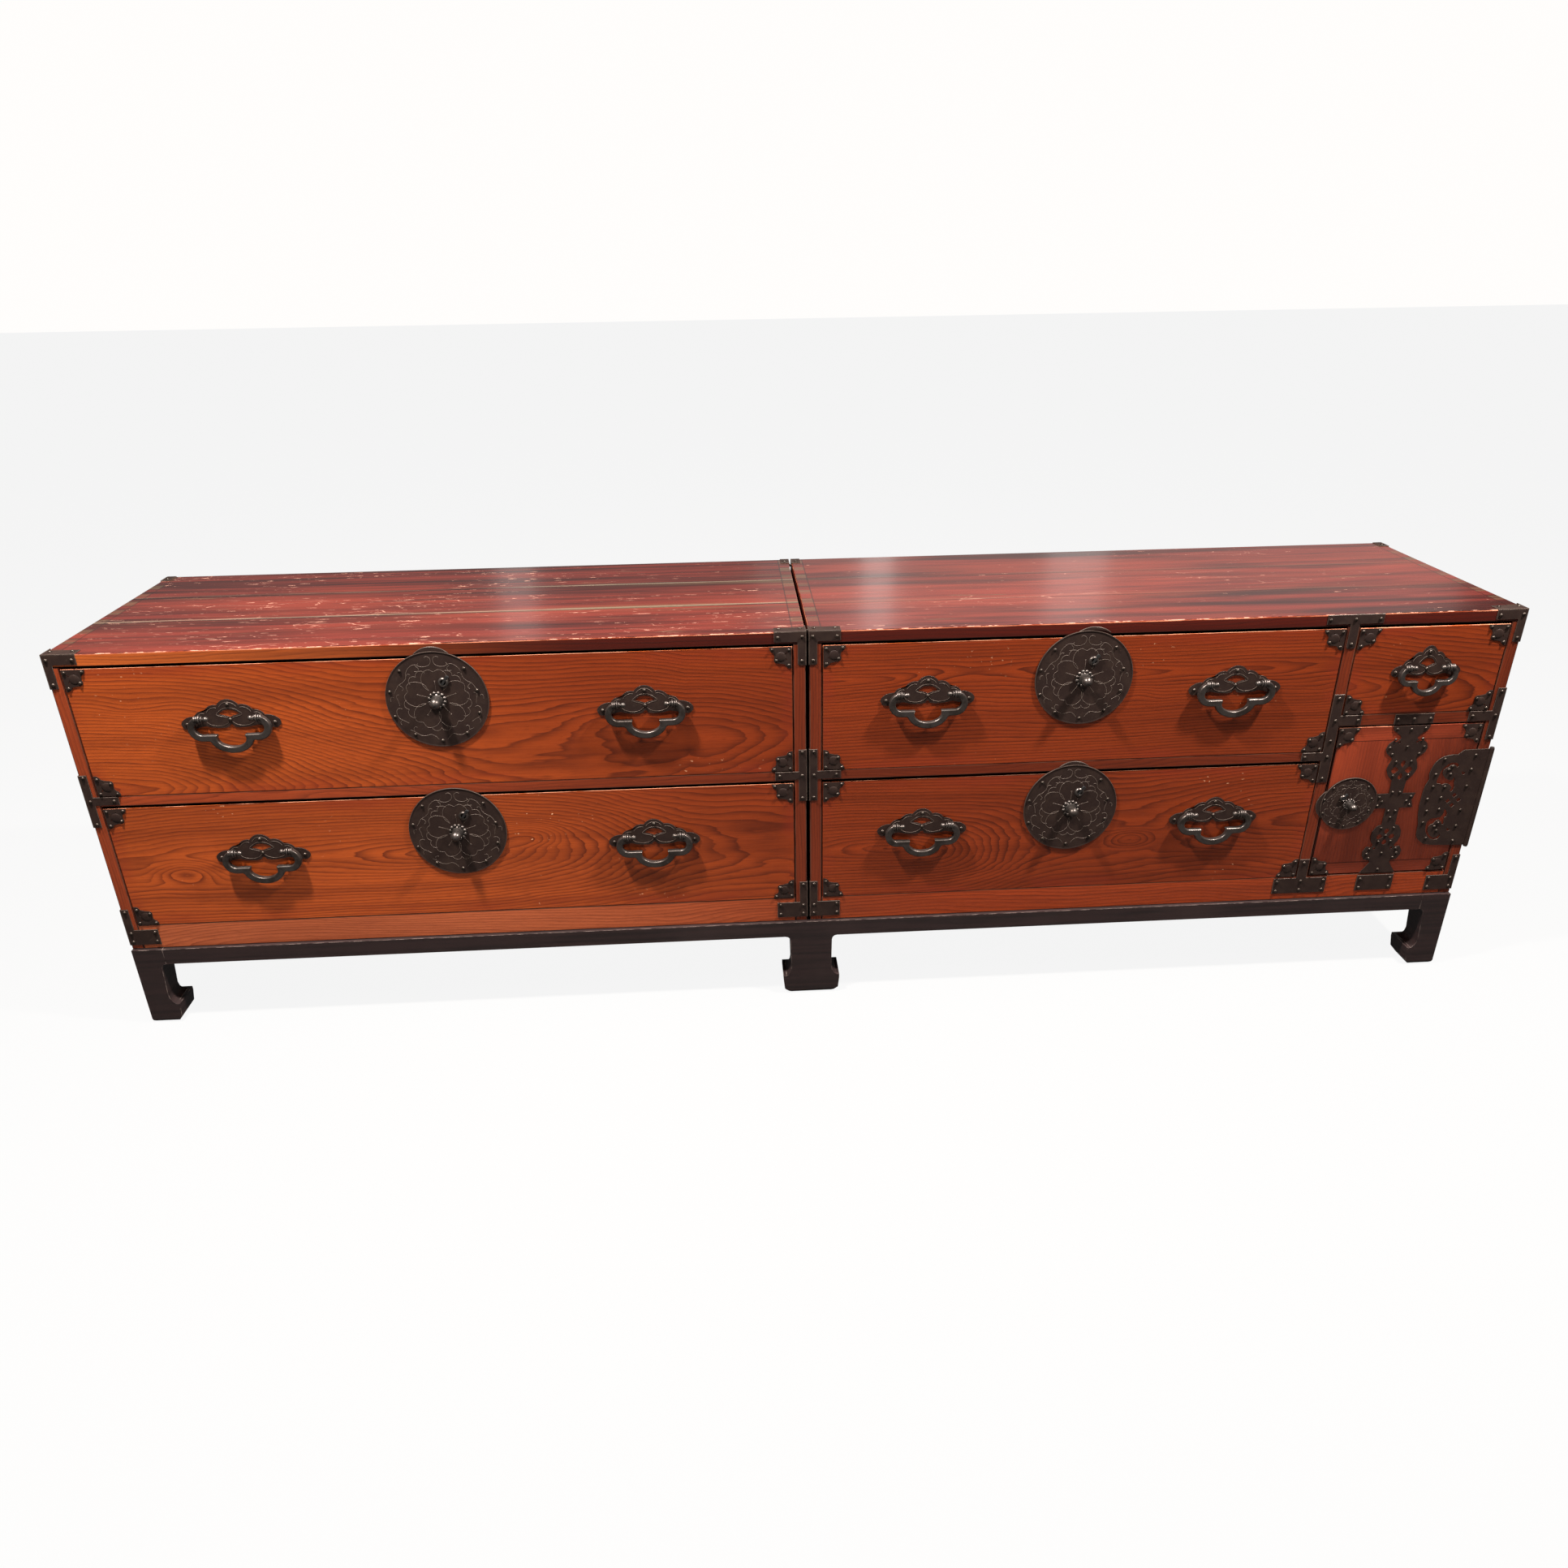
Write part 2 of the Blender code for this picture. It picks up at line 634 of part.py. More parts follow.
# The door hinges on a barrel just outside the case's right front edge
def build_door(case):
    axis_x = case_width + hinge_side_clear + hinge_radius
    axis_y = -fit_gap - iron / 2
    leaf_z = door_top - hinge_drop - hinge_height / 2
    holder = make_empty("door_axis", case, (axis_x, axis_y, leaf_z))
    face = make_empty("door_face", holder, (0, -axis_y, 0))
    low = base_rail_height + door_clear - leaf_z
    high = door_top - door_clear - leaf_z
    left = partition_right + door_clear - axis_x
    right = inner_right - door_clear - axis_x
    lock = (door_lock_x - axis_x, door_lock_z - leaf_z)
    bore = y_rod(knob_bore_radius, lock, -cut_overrun, door_board + cut_overrun, 12)
    panel = combine(box((left, 0, low), (right, door_board, high)), [bore], "DIFFERENCE")
    make_piece("door_panel", panel, door_wood, face)
    strap = strap_x - axis_x
    side = [(u * strap_half, high - v * (high - low)) for u, v in strap_shares]
    loop = [(strap + u, v) for u, v in side] + [(strap - u, v) for u, v in reversed(side)]
    make_piece("door_strap", front_slab([loop], -fit_gap - iron, -fit_gap), black_iron, face)
    build_lock("door", face, lock, door_lock_left, door_lock_radius, (-door_ring_out, door_ring_up),
               270, door_board, 32)
    build_hinge(holder, case, (axis_x, axis_y, leaf_z))


def knuckle(low, high):
    return rod_shape(hinge_radius, (0, 0, low), (0, 0, high), "Z", 12)


def build_hinge(holder, case, place):
    half, third = hinge_height / 2, hinge_height / 6
    room = third + fit_gap
    loop = [(-u * hinge_reach, v * half) for u, v in leaf_shares]
    leaf = front_slab([loop], -iron / 2, iron / 2)
    slot = box((-hinge_radius - hinge_side_clear - fit_gap, -hinge_radius, -room),
               (cut_overrun, hinge_radius, room))
    leaf = combine(leaf, [slot], "DIFFERENCE")
    leaf = combine(leaf, [knuckle(-half, -room), knuckle(room, half)], "UNION")
    bore = rod_shape(hinge_bore_radius, (0, 0, -half - cut_overrun), (0, 0, half + cut_overrun), "Z", 12)
    make_piece("door_hinge_leaf", combine(leaf, [bore], "DIFFERENCE"), black_iron, holder)

    fixed = make_empty("case_hinge", case, place)
    face = -hinge_radius - hinge_side_clear + fit_gap
    near = hinge_radius
    plate = box((face, near, -half), (face + iron, near + hinge_side_leaf, half))
    arm = box((face, 0, -third), (face + iron, near + cut_overrun, third))
    plate = combine(plate, [arm, knuckle(-third, third)], "UNION")
    bore = rod_shape(hinge_bore_radius, (0, 0, -half), (0, 0, half), "Z", 12)
    make_piece("case_hinge_leaf", combine(plate, [bore], "DIFFERENCE"), black_iron, fixed)

    head = half + fit_gap
    pin = rod_shape(hinge_pin_radius, (0, 0, -head - hinge_head_height / 2),
                    (0, 0, head + hinge_head_height / 2), "Z", 12)
    caps = [rod_shape(hinge_head_radius, (0, 0, start), (0, 0, start + hinge_head_height), "Z", 12)
            for start in (head, -head - hinge_head_height)]
    make_piece("hinge_pin", combine(pin, caps, "UNION"), steel_iron, fixed)


case_low = stand_height + fit_gap
build_stand()
left_case = build_case("left_case", (-centre_x - case_width, 0, case_low), left_centre, inner_right)
right_case = build_case("right_case", (centre_x, 0, case_low), long_centre, partition_left)
build_partition(right_case)
build_drawers(left_case, right_case)
build_door(right_case)

for piece in parts.objects:
    if piece.type == "MESH":
        piece.data.shade_smooth()
        piece.data.set_sharp_from_angle(angle=radians(35))
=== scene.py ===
import json
from math import atan2, cos, hypot, pi, radians, sin

import bpy
from mathutils import Matrix, Vector

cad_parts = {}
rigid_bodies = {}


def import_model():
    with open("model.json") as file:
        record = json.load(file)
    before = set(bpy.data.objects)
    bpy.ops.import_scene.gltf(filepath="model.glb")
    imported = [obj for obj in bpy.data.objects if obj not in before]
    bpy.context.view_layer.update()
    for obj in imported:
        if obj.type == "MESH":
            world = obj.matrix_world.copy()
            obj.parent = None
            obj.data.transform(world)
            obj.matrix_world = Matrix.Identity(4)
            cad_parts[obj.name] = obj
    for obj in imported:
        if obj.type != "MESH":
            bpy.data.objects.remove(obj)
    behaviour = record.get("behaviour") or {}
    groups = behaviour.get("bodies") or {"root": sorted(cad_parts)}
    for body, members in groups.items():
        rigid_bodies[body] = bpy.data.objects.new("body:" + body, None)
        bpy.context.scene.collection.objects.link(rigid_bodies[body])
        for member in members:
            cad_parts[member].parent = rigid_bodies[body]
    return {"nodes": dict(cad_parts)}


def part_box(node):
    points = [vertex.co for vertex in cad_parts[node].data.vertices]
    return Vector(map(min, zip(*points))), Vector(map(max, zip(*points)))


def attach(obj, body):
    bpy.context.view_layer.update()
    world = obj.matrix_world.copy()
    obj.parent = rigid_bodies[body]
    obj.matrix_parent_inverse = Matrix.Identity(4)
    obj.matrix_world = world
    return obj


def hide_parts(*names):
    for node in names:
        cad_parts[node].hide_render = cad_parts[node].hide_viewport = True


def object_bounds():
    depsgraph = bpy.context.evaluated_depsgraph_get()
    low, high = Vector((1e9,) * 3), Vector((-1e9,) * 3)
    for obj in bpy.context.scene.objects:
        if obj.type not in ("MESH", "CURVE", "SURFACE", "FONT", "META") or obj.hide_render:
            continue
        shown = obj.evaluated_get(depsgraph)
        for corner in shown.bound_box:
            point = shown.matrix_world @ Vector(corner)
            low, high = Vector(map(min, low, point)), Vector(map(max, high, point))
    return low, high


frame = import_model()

# A low two-case tansu on one stand: looks around the finished frame.
# Metres, +X right, +Y back, +Z up. Plate outlines are drawn in millimetres on the front.

cadLow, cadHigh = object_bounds()
mm = 0.001
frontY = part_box("left_case_top")[0].y
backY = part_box("left_case_left_side")[1].y
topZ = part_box("left_case_top")[1].z
caseX = {"left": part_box("left_case_left_side")[0].x, "right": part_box("right_case_left_side")[0].x}
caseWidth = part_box("left_case_top")[1].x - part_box("left_case_top")[0].x
wideDrawers = ("left_upper", "left_lower", "right_upper", "right_lower")
drawers = wideDrawers + ("small",)
weld = 0.00002  # points nearer than this are joined


def tone(red, green, blue):  # screen colour, 0 to 255, as Blender's linear colour
    def linear(value):
        value /= 255
        return value / 12.92 if value <= 0.04045 else ((value + 0.055) / 1.055) ** 2.4
    return linear(red), linear(green), linear(blue), 1


def feed(tree, slot, value):
    if isinstance(value, Signal):
        tree.links.new(value.socket, slot)
    else:
        slot.default_value = value


class Signal:  # a socket that Python expressions can reckon with
    def __init__(self, tree, socket):
        self.tree = tree
        self.socket = socket

    def reckon(self, operation, *others):
        node = self.tree.nodes.new("ShaderNodeMath")
        node.operation = operation
        for slot, value in zip(node.inputs, (self,) + others):
            feed(self.tree, slot, value)
        return Signal(self.tree, node.outputs[0])

    def __add__(self, other):
        return self.reckon("ADD", other)

    def __sub__(self, other):
        return self.reckon("SUBTRACT", other)

    def __rsub__(self, other):
        return self.reckon("MULTIPLY_ADD", -1.0, other)

    def __mul__(self, other):
        return self.reckon("MULTIPLY", other)

    def __truediv__(self, other):
        return self.reckon("DIVIDE", other)

    def __pow__(self, other):
        return self.reckon("POWER", other)

    def __abs__(self):
        return self.reckon("ABSOLUTE")

    __radd__ = __add__
    __rmul__ = __mul__

    def least(self, other):
        return self.reckon("MINIMUM", other)

    def band(self, low, high):  # 0 below low, 1 above high, smooth between
        node = self.tree.nodes.new("ShaderNodeMapRange")
        node.interpolation_type = "SMOOTHSTEP"
        feed(self.tree, node.inputs["Value"], self)
        node.inputs["From Min"].default_value = low
        node.inputs["From Max"].default_value = high
        return Signal(self.tree, node.outputs["Result"])


class Finish:  # one material on its Principled shader
    def __init__(self, name, **constants):
        self.material = bpy.data.materials.new(name)
        self.material.use_nodes = True
        self.tree = self.material.node_tree
        self.shader = self.tree.nodes["Principled BSDF"]
        for words, value in constants.items():
            self.shader.inputs[words.replace("_", " ")].default_value = value
        self.coords = self.node("TexCoord", {}, {}, "Object")

    def node(self, kind, settings, sockets, output=0):
        made = self.tree.nodes.new("ShaderNode" + kind)
        for key, value in settings.items():
            setattr(made, key, value)
        for key, value in sockets.items():
            feed(self.tree, made.inputs[key], value)
        return Signal(self.tree, made.outputs[output])

    def split(self):
        made = self.tree.nodes.new("ShaderNodeSeparateXYZ")
        feed(self.tree, made.inputs[0], self.coords)
        return [Signal(self.tree, made.outputs[index]) for index in range(3)]

    def point(self, x, y, z):
        return self.node("CombineXYZ", {}, {0: x, 1: y, 2: z})

    def noise(self, place, scale, detail, rough=0.5):
        return self.node("TexNoise", {}, {"Vector": place, "Scale": scale, "Detail": detail,
                                          "Roughness": rough}, "Fac")

    def field(self, x, y, z, detail, rough=0.5):  # noise over coordinates stretched one by one
        return self.noise(self.point(x, y, z), 1, detail, rough)

    def mix(self, factor, first, second):
        return self.node("Mix", {"data_type": "RGBA"}, {0: factor, 6: first, 7: second}, 2)

    def layered(self, color, *layers):  # each layer: how much of it, and its colour
        for share, layer in layers:
            color = self.mix(share, color, layer)
        return color

    def bump(self, height, strength, distance):
        normal = self.node("Bump", {}, {"Strength": strength, "Distance": distance,
                                        "Height": height}, "Normal")
        feed(self.tree, self.shader.inputs["Normal"], normal)

    def wear(self, **sockets):
        for words, value in sockets.items():
            feed(self.tree, self.shader.inputs[words.replace("_", " ")], value)
        return self.material


framing = {"rings": 220, "hill": 0.10, "stretch": 1.6, "spread": 4.0, "lines": 0.7,
           "rough": 0.44, "shine": 0.16}
# the far tones: darker towards the right, partly the wood's own tone and partly painted shade
woods = {
    "front": {"light": tone(159, 70, 25), "dark": tone(78, 28, 13), "farLightShaded": tone(124, 47, 16),
              "farDarkShaded": tone(56, 18, 8), "rings": 175, "hill": 0.30, "stretch": 1.3, "spread": 2.6,
              "lines": 1.0, "stain": tone(112, 36, 20), "rough": 0.40, "shine": 0.16},
    "case": {"light": tone(162, 82, 48), "dark": tone(84, 30, 16), "farLightShaded": tone(138, 52, 19),
             "farDarkShaded": tone(62, 20, 9), "stain": tone(84, 26, 14), **framing},
    "rail": {"light": tone(138, 57, 27), "dark": tone(72, 26, 14), "farLightShaded": tone(102, 39, 18),
             "farDarkShaded": tone(56, 18, 9), "stain": tone(84, 26, 14), **framing},
    "topRail": {"light": tone(180, 88, 36), "dark": tone(84, 34, 16), "farLightShaded": tone(72, 20, 12),
                "farDarkShaded": tone(38, 13, 9), "stain": tone(70, 26, 16), **framing},
    "door": {"light": tone(124, 48, 26), "dark": tone(66, 22, 13), "rings": 200, "hill": 0.22,
             "stretch": 1.6, "spread": 5.0, "lines": 0.42, "stain": tone(66, 22, 14), "rough": 0.42,
             "shine": 0.18},
    "inner": {"light": tone(205, 172, 126), "dark": tone(158, 122, 80), "rings": 240, "hill": 0.20,
              "stretch": 1.0, "spread": 3.0, "lines": 0.5, "rough": 0.65, "shine": 0.2},
}
# pale: partly rubbed wear, partly painted highlight; mark: nicks; the third: dark joints, and painted shade
# on the arrises; gap: painted shade in the gaps between parts
wearAndPaintedLight = {"pale": tone(214, 142, 108), "mark": tone(226, 176, 134), "seamAndShade": tone(26, 12, 9),
        "gap": tone(8, 4, 3)}
# where the wood turns from its left tones to its right ones, along a leaning line; the right ones are darker,
# partly the wood's own tone and partly painted shade
farToneAndShade = {"from": cadLow.x + 0.40, "to": cadLow.x + 1.30, "height": 0.31, "lean": 1.2}


def ringField(wood, look, along, across, deep, seed, heart, eyes=()):
    # boards cut flat from a bent log, heart: across, deep, then how it leans and from where to where;
    # an eye is a place along, across and a radius with closed rings
    hills = wood.field(along * look["stretch"] + seed, across * look["spread"], deep, 1.5, 0.4)
    waves = wood.field(along * 3.4, across * 9 + seed, deep * 9, 2)
    ripple = wood.field(along * 9, across * 70 + seed, deep * 70, 2)
    depth = hills * look["hill"] + waves * 0.026 + (heart[1] - look["hill"] * 0.5) + deep * 0.6
    if len(heart) > 2:
        lean, start, stop = heart[2:]
        depth = depth + (along.reckon("MAXIMUM", start).least(stop) - start) * lean
    for eyeAlong, eyeAcross, size in eyes:
        reach = ((along - eyeAlong) * 0.45) ** 2.0 + (across - eyeAcross) ** 2.0
        depth = depth + (1 - (reach ** 0.5).band(0.0, size)) * size * 0.8
    offset = across - heart[0]
    radius = (depth * depth + offset * offset) ** 0.5
    ring = (radius * look["rings"] + ripple * 1.1).reckon("FRACT")
    years = wood.field(radius * 55 + seed, 0.0, 0.0, 2)
    return ring ** 2.4 * (1 - ring.band(0.90, 1.0)) * (years.band(0.34, 0.62) * 0.45 + 0.60)


def woodMaterial(name, kind, grain, seed, heart, box=None, eyes=(), nicks=(0, 0), shadedLeftEdge=False,
                 seams=()):
    look = woods[kind]
    wood = Finish(name, Specular_IOR_Level=look["shine"])
    x, y, z = wood.split()
    along, across, deep = (x, z, y) if grain == "X" else (z, x, y)
    late = ringField(wood, look, along, across, deep, seed, heart, eyes)
    fibre = wood.field(along * 16 + seed, across * 520, deep * 520, 2)
    pores = wood.field(along * 60, across * 1300 + seed, deep * 1300, 1)
    cloud = wood.field(along * 2.0 + seed, across * 7, deep * 7, 3)
    band = wood.field(along * 0.9 + seed, across * 38, deep * 38, 2)
    # painted shade in part: the turn to the darker far tones towards the right
    far = (x + (z - farToneAndShade["height"]) * farToneAndShade["lean"]).band(farToneAndShade["from"], farToneAndShade["to"])
    light, dark = [wood.mix(far, look[near], look.get(distant, look[near]))
                   for near, distant in (("light", "farLightShaded"), ("dark", "farDarkShaded"))]
    color = wood.mix(cloud.band(0.34, 0.70) * 0.22 + band.band(0.42, 0.68) * 0.24, light, dark)
    color = wood.layered(color, (late * look["lines"], dark), (pores.band(0.60, 0.72) * 0.35, dark),
                         (fibre.band(0.35, 0.72) * 0.22, dark))
    for seam in seams:
        gap = 1 - abs(z - seam).band(0.0003, 0.0012)
        color = wood.mix(gap * 0.8, color, wearAndPaintedLight["seamAndShade"])
    if box:
        low, high = box
        edge = (x - low.x).least(high.x - x).least(z - low.z).least(high.z - z)
        blot = wood.field(x * 7 + seed, y, z * 16, 3)
        stained = (1 - edge.band(0.002, 0.030)) * blot.band(0.40, 0.66)
        color = wood.mix(stained * 0.45, color, look["stain"])
        nick = wood.field(x * 120 + seed, y, z * 180, 2, 0.6)
        where = wood.field(x * 4.3 + seed, y, z * 6.1, 1).band(0.62, 0.70) * 0.5
        if nicks[1]:
            group = wood.field(x * 11 + seed, y, z * 19, 1).band(0.54, 0.62)
            first, last = nicks
            where = where + group * x.band(first - 0.03, first) * (1 - x.band(last, last + 0.05))
        color = wood.mix((nick.band(0.69, 0.72) * where * 0.8).least(1.0), color, wearAndPaintedLight["mark"])
        # painted shade: the board's top face and its top millimetre go to the gap's dark colour, as if shaded
        # by the rail above; a shaded left edge adds its left few millimetres
        gapShade = z.band(high.z - 0.0012, high.z - 0.0006)
        if shadedLeftEdge:
            gapShade = gapShade + (1 - x.band(low.x + 0.0015, low.x + 0.0030))
        color = wood.mix(gapShade.least(0.96), color, wearAndPaintedLight["gap"])
    rough = late * 0.10 + fibre * 0.10 + (look["rough"] - 0.08)
    wood.bump(late * 0.6 + fibre * 0.4 + pores * 0.3, 0.30, 0.0004)
    return wood.wear(Base_Color=color, Roughness=rough)


def edgeWearAndShadeMaterial(name, kind, grain, seed, heart, reach, seamAndShade, top=None):
    # reach: how much of the arris is painted pale, partly rubbed wear and partly painted highlight, only the
    # upper arris where top is given; the next amount is painted shade on the arrises, the gaps' shade
    look = woods[kind]
    wood = Finish(name, Specular_IOR_Level=0.35)
    x, y, z = wood.split()
    along, across, deep = (x, z, y) if grain == "X" else (z, x, y)
    late = ringField(wood, look, along, across, deep, seed, heart)
    rub = wood.field(x * 16 + seed, y * 16, z * 16, 4, 0.65)
    base = wood.mix(late * look["lines"], look["light"], look["dark"])
    # painted highlight in part: the pale arris is partly rubbed wear, partly the light catching the upper
    # arris
    pale = rub.band(0.38, 0.56) * reach
    # painted shade: the dark on the arrises stands for the shade in the gaps, varied by the noise
    edgeShade = rub * 0.2 + seamAndShade
    if top:
        upper = z.band(top - 0.0045, top - 0.0020)
        pale = pale * upper
        edgeShade = edgeShade * (1 - upper)
    color = wood.layered(base, (edgeShade, wearAndPaintedLight["seamAndShade"]), (pale, wearAndPaintedLight["pale"]))
    wood.bump(rub, 0.4, 0.0006)
    return wood.wear(Base_Color=color, Roughness=rub * 0.2 + 0.35)


# pale: the painted sheen beside the seams
lacquer = {"deep": tone(42, 13, 10), "red": tone(86, 29, 22), "bright": tone(116, 44, 30),
           "dusk": tone(34, 17, 15), "bare": tone(78, 64, 46), "scratch": tone(188, 138, 118),
           "seam": tone(18, 8, 7), "pale": tone(128, 114, 96)}
topLook = {"combPitch": 0.052, "combWidth": 0.020, "rimAway": 0.0050}


def topMaterial(name, look):
    seed = look["seed"]
    top = Finish(name, Coat_Roughness=0.16, Coat_Weight=0.45, Specular_IOR_Level=0.3)
    x, y, z = top.split()
    front = y - frontY
    streak = top.field(x * 1.7 + seed, y * look["streak"], z * 60, 4, 0.62)
    broad = top.field(x * 1.3 + seed, y * 8, z * 8, 3)
    dusk = top.field(x * 2.3, y * 30 + seed, z * 30, 3, 0.6)
    fine = top.field(x * 8 + seed, y * 420, z * 420, 2)
    color = top.layered(lacquer["deep"], (streak.band(0.36, 0.64), lacquer["red"]),
                        (broad.band(0.46, 0.72) * 0.60, lacquer["bright"]),
                        (dusk.band(0.54, 0.72) * 0.55, lacquer["dusk"]),
                        (fine.band(0.40, 0.70) * 0.35, lacquer["deep"]))
    patch = top.field(x * 2.6 + seed, y * 90, z, 4, 0.62)
    bare = top.field(x * 5.3 + seed, y * 120, z, 2).band(0.70, 0.76)
    height = fine * 0.35 + broad * 1.2 + streak * 0.5
    for seam, start, strength in look["seams"]:
        off = abs(front - seam)
        reach = x.band(start, start + 0.7) * strength + 0.12
        bare = bare + (1 - off.band(0.003, 0.026)) * patch.band(0.44, 0.60) * reach
        # painted sheen: a pale line just behind each seam, in patches, where the lacquer catches the light
        rim = abs(front - seam - topLook["rimAway"])
        rim = (1 - rim.band(0.0015, 0.0045)) * patch.band(0.34, 0.54) * strength * 0.7
        color = top.mix(rim, color, lacquer["pale"])
        line = 1 - off.band(0.0012, 0.0030)
        color = top.mix(line * (0.35 + strength * 0.5), color, lacquer["seam"])
        height = height - line * 2.5
    bare = bare.least(1.0)
    color = top.mix(bare * 0.65, color, lacquer["bare"])
    dash = top.field(x * 26 + seed, y * 210, z * 60, 3, 0.7)
    zone = top.field(x * 3.2 + seed, y * 16, z, 2)
    scratches = dash.band(look["dash"], look["dash"] + 0.03) * zone.band(0.40, 0.60)
    bent = top.point(x * 7 + dusk * 0.9 + seed, y * 30 + broad * 2.5, 0.0)
    wander = top.node("TexVoronoi", {"feature": "DISTANCE_TO_EDGE"}, {"Vector": bent, "Scale": 1.0})
    hairs = (1 - wander.band(0.003, 0.010)) * zone.band(0.50, 0.66) * streak.band(0.45, 0.60)
    marks = (scratches + hairs * look["hair"]).least(1.0)
    color = top.mix(marks * 0.8, color, lacquer["scratch"])
    chips = top.field(x * 42 + seed, y * 120, z * 60, 3, 0.65)
    rimWear = 1 - front.band(0.0016, 0.0034)
    color = top.layered(color, (rimWear * chips.band(0.52, 0.58) * 0.8, lacquer["scratch"]),
                        (rimWear * (1 - chips.band(0.42, 0.47)) * 0.85, lacquer["seam"]))
    comb = (front / topLook["combPitch"]).reckon("FRACT")  # the end boards' joints with the side below
    tooth = comb.band(0.02, 0.04) * (1 - comb.band(0.50, 0.52))
    inside = (x - look["left"]).least(look["left"] + caseWidth - x)
    strip = 1 - inside.band(topLook["combWidth"] - 0.0005, topLook["combWidth"] + 0.0005)
    color = top.mix(strip * tooth * patch.band(0.30, 0.62) * 0.55, color, lacquer["bare"])
    joint = 1 - abs(inside - topLook["combWidth"]).band(0.0004, 0.0014)
    step = strip * (1 - abs(comb - 0.51).band(0.012, 0.030))
    color = top.mix((joint + step).least(1.0) * 0.7, color, lacquer["seam"])
    rough = streak * 0.10 + fine * 0.08 + scratches * 0.3 + bare * 0.25 + 0.17
    top.bump(height - scratches, 0.22, 0.0007)
    return top.wear(Base_Color=color, Roughness=rough)


metals = {
    "iron": {"base": tone(39, 26, 22), "rust": tone(46, 32, 26), "shine": tone(64, 52, 46),
             "metallic": 0.15, "rough": 0.54, "strength": 0.14},
    "rubbed": {"base": tone(92, 78, 70), "rust": tone(62, 50, 44), "shine": tone(150, 136, 124),
               "metallic": 0.35, "rough": 0.42, "strength": 0.25},
    "chased": {"base": tone(106, 92, 83), "rust": tone(80, 67, 59), "shine": tone(134, 120, 110),
               "metallic": 0.20, "rough": 0.42, "strength": 0.15},
    "steel": {"base": tone(88, 80, 76), "rust": tone(62, 54, 49), "shine": tone(120, 112, 107),
              "metallic": 0.80, "rough": 0.35, "strength": 0.07},
    "nail": {"base": tone(66, 57, 51), "rust": tone(48, 39, 34), "shine": tone(130, 120, 112),
             "metallic": 0.70, "rough": 0.32, "strength": 0.08},
}


def metalMaterial(name, kind):
    look = metals[kind]
    metal = Finish(name, Metallic=look["metallic"], Specular_IOR_Level=0.25)
    mottle = metal.noise(metal.coords, 42, 4, 0.6)
    spots = metal.noise(metal.coords, 230, 3, 0.6)
    grain = metal.noise(metal.coords, 900, 2)
    color = metal.layered(look["base"], (mottle.band(0.42, 0.66) * 0.8, look["rust"]),
                          (spots.band(0.60, 0.74) * 0.35, look["shine"]))
    metal.bump(mottle * 0.6 + spots * 0.6 + grain * 0.3, look["strength"], 0.0005)
    return metal.wear(Base_Color=color, Roughness=mottle * 0.14 + grain * 0.08 + look["rough"] - 0.10)


def standMaterial(name, pale):
    stand = Finish(name, Coat_Roughness=0.25, Coat_Weight=0.15)
    x, y, z = stand.split()
    grain = stand.field(x * 6, y * 6, z * 150, 3)
    smear = stand.noise(stand.coords, 7, 3)
    color = stand.layered(tone(41, 27, 26), (grain.band(0.35, 0.70), tone(30, 20, 19)),
                          (smear.band(0.50, 0.75) * 0.4, tone(50, 35, 33)))
    # the edges' pale: partly rubbed wear, partly painted highlight where they catch the light
    if pale:
        rub = stand.noise(stand.coords, 60, 4, 0.6)
        color = stand.mix(rub.band(0.42, 0.60) * 0.8, color, tone(142, 124, 116))
    stand.bump(grain, 0.2, 0.0004)
    return stand.wear(Base_Color=color, Roughness=grain * 0.12 + smear * 0.1 + 0.34)


iron = metalMaterial("blackenedIron", "iron")
rubbedIron = metalMaterial("rubbedIron", "rubbed")
steel = metalMaterial("forgedSteel", "steel")
nailSteel = metalMaterial("nailSteel", "nail")
chased = metalMaterial("chasedLines", "chased")
print("materials for metal done")


def solo(piece):
    bpy.ops.object.select_all(action="DESELECT")
    piece.select_set(True)
    bpy.context.view_layer.objects.active = piece


def pick(piece, kind, test):  # selects vertices, edges or polygons in code, then opens edit mode
    mesh = piece.data
    bpy.context.tool_settings.mesh_select_mode = [kind == "vertices", kind == "edges", kind == "polygons"]
    for group in (mesh.vertices, mesh.edges, mesh.polygons):
        group.foreach_set("select", [False] * len(group))
    for item in getattr(mesh, kind):
        item.select = test(item)
    solo(piece)
    bpy.ops.object.mode_set(mode="EDIT")


def closeEdit():
    bpy.ops.object.mode_set(mode="OBJECT")


def takeMaterials(piece, *looks):
    piece.data.materials.clear()
    for look in looks:
        piece.data.materials.append(look)


def smoothed(piece, angle):  # weighted by area, so that broad flat faces stay flat
    solo(piece)
    bpy.ops.object.shade_smooth_by_angle(angle=radians(angle))
    modifier = piece.modifiers.new("flatFaces", "WEIGHTED_NORMAL")
    modifier.keep_sharp = True
    bpy.ops.object.modifier_apply(modifier="flatFaces")
    return piece


def joined(name, pieces):
    bpy.ops.object.select_all(action="DESELECT")
    for piece in pieces:
        piece.select_set(True)
    bpy.context.view_layer.objects.active = pieces[0]
    if len(pieces) > 1:
        bpy.ops.object.join()
    piece = bpy.context.object
    piece.name = name
    piece.data.name = name
    return piece


def copied(piece, change, name):  # its own mesh, changed by a matrix
    twin = piece.copy()
    twin.data = piece.data.copy()
    twin.name = name
    bpy.context.scene.collection.objects.link(twin)
    twin.data.transform(change)
    if change.determinant() < 0:
        twin.data.flip_normals()
    return twin


def added(make, **settings):  # a primitive with its place kept in the mesh
    bpy.ops.object.select_all(action="DESELECT")
    make(**settings)
    bpy.ops.object.transform_apply(location=True, rotation=True, scale=True)
    return bpy.context.object


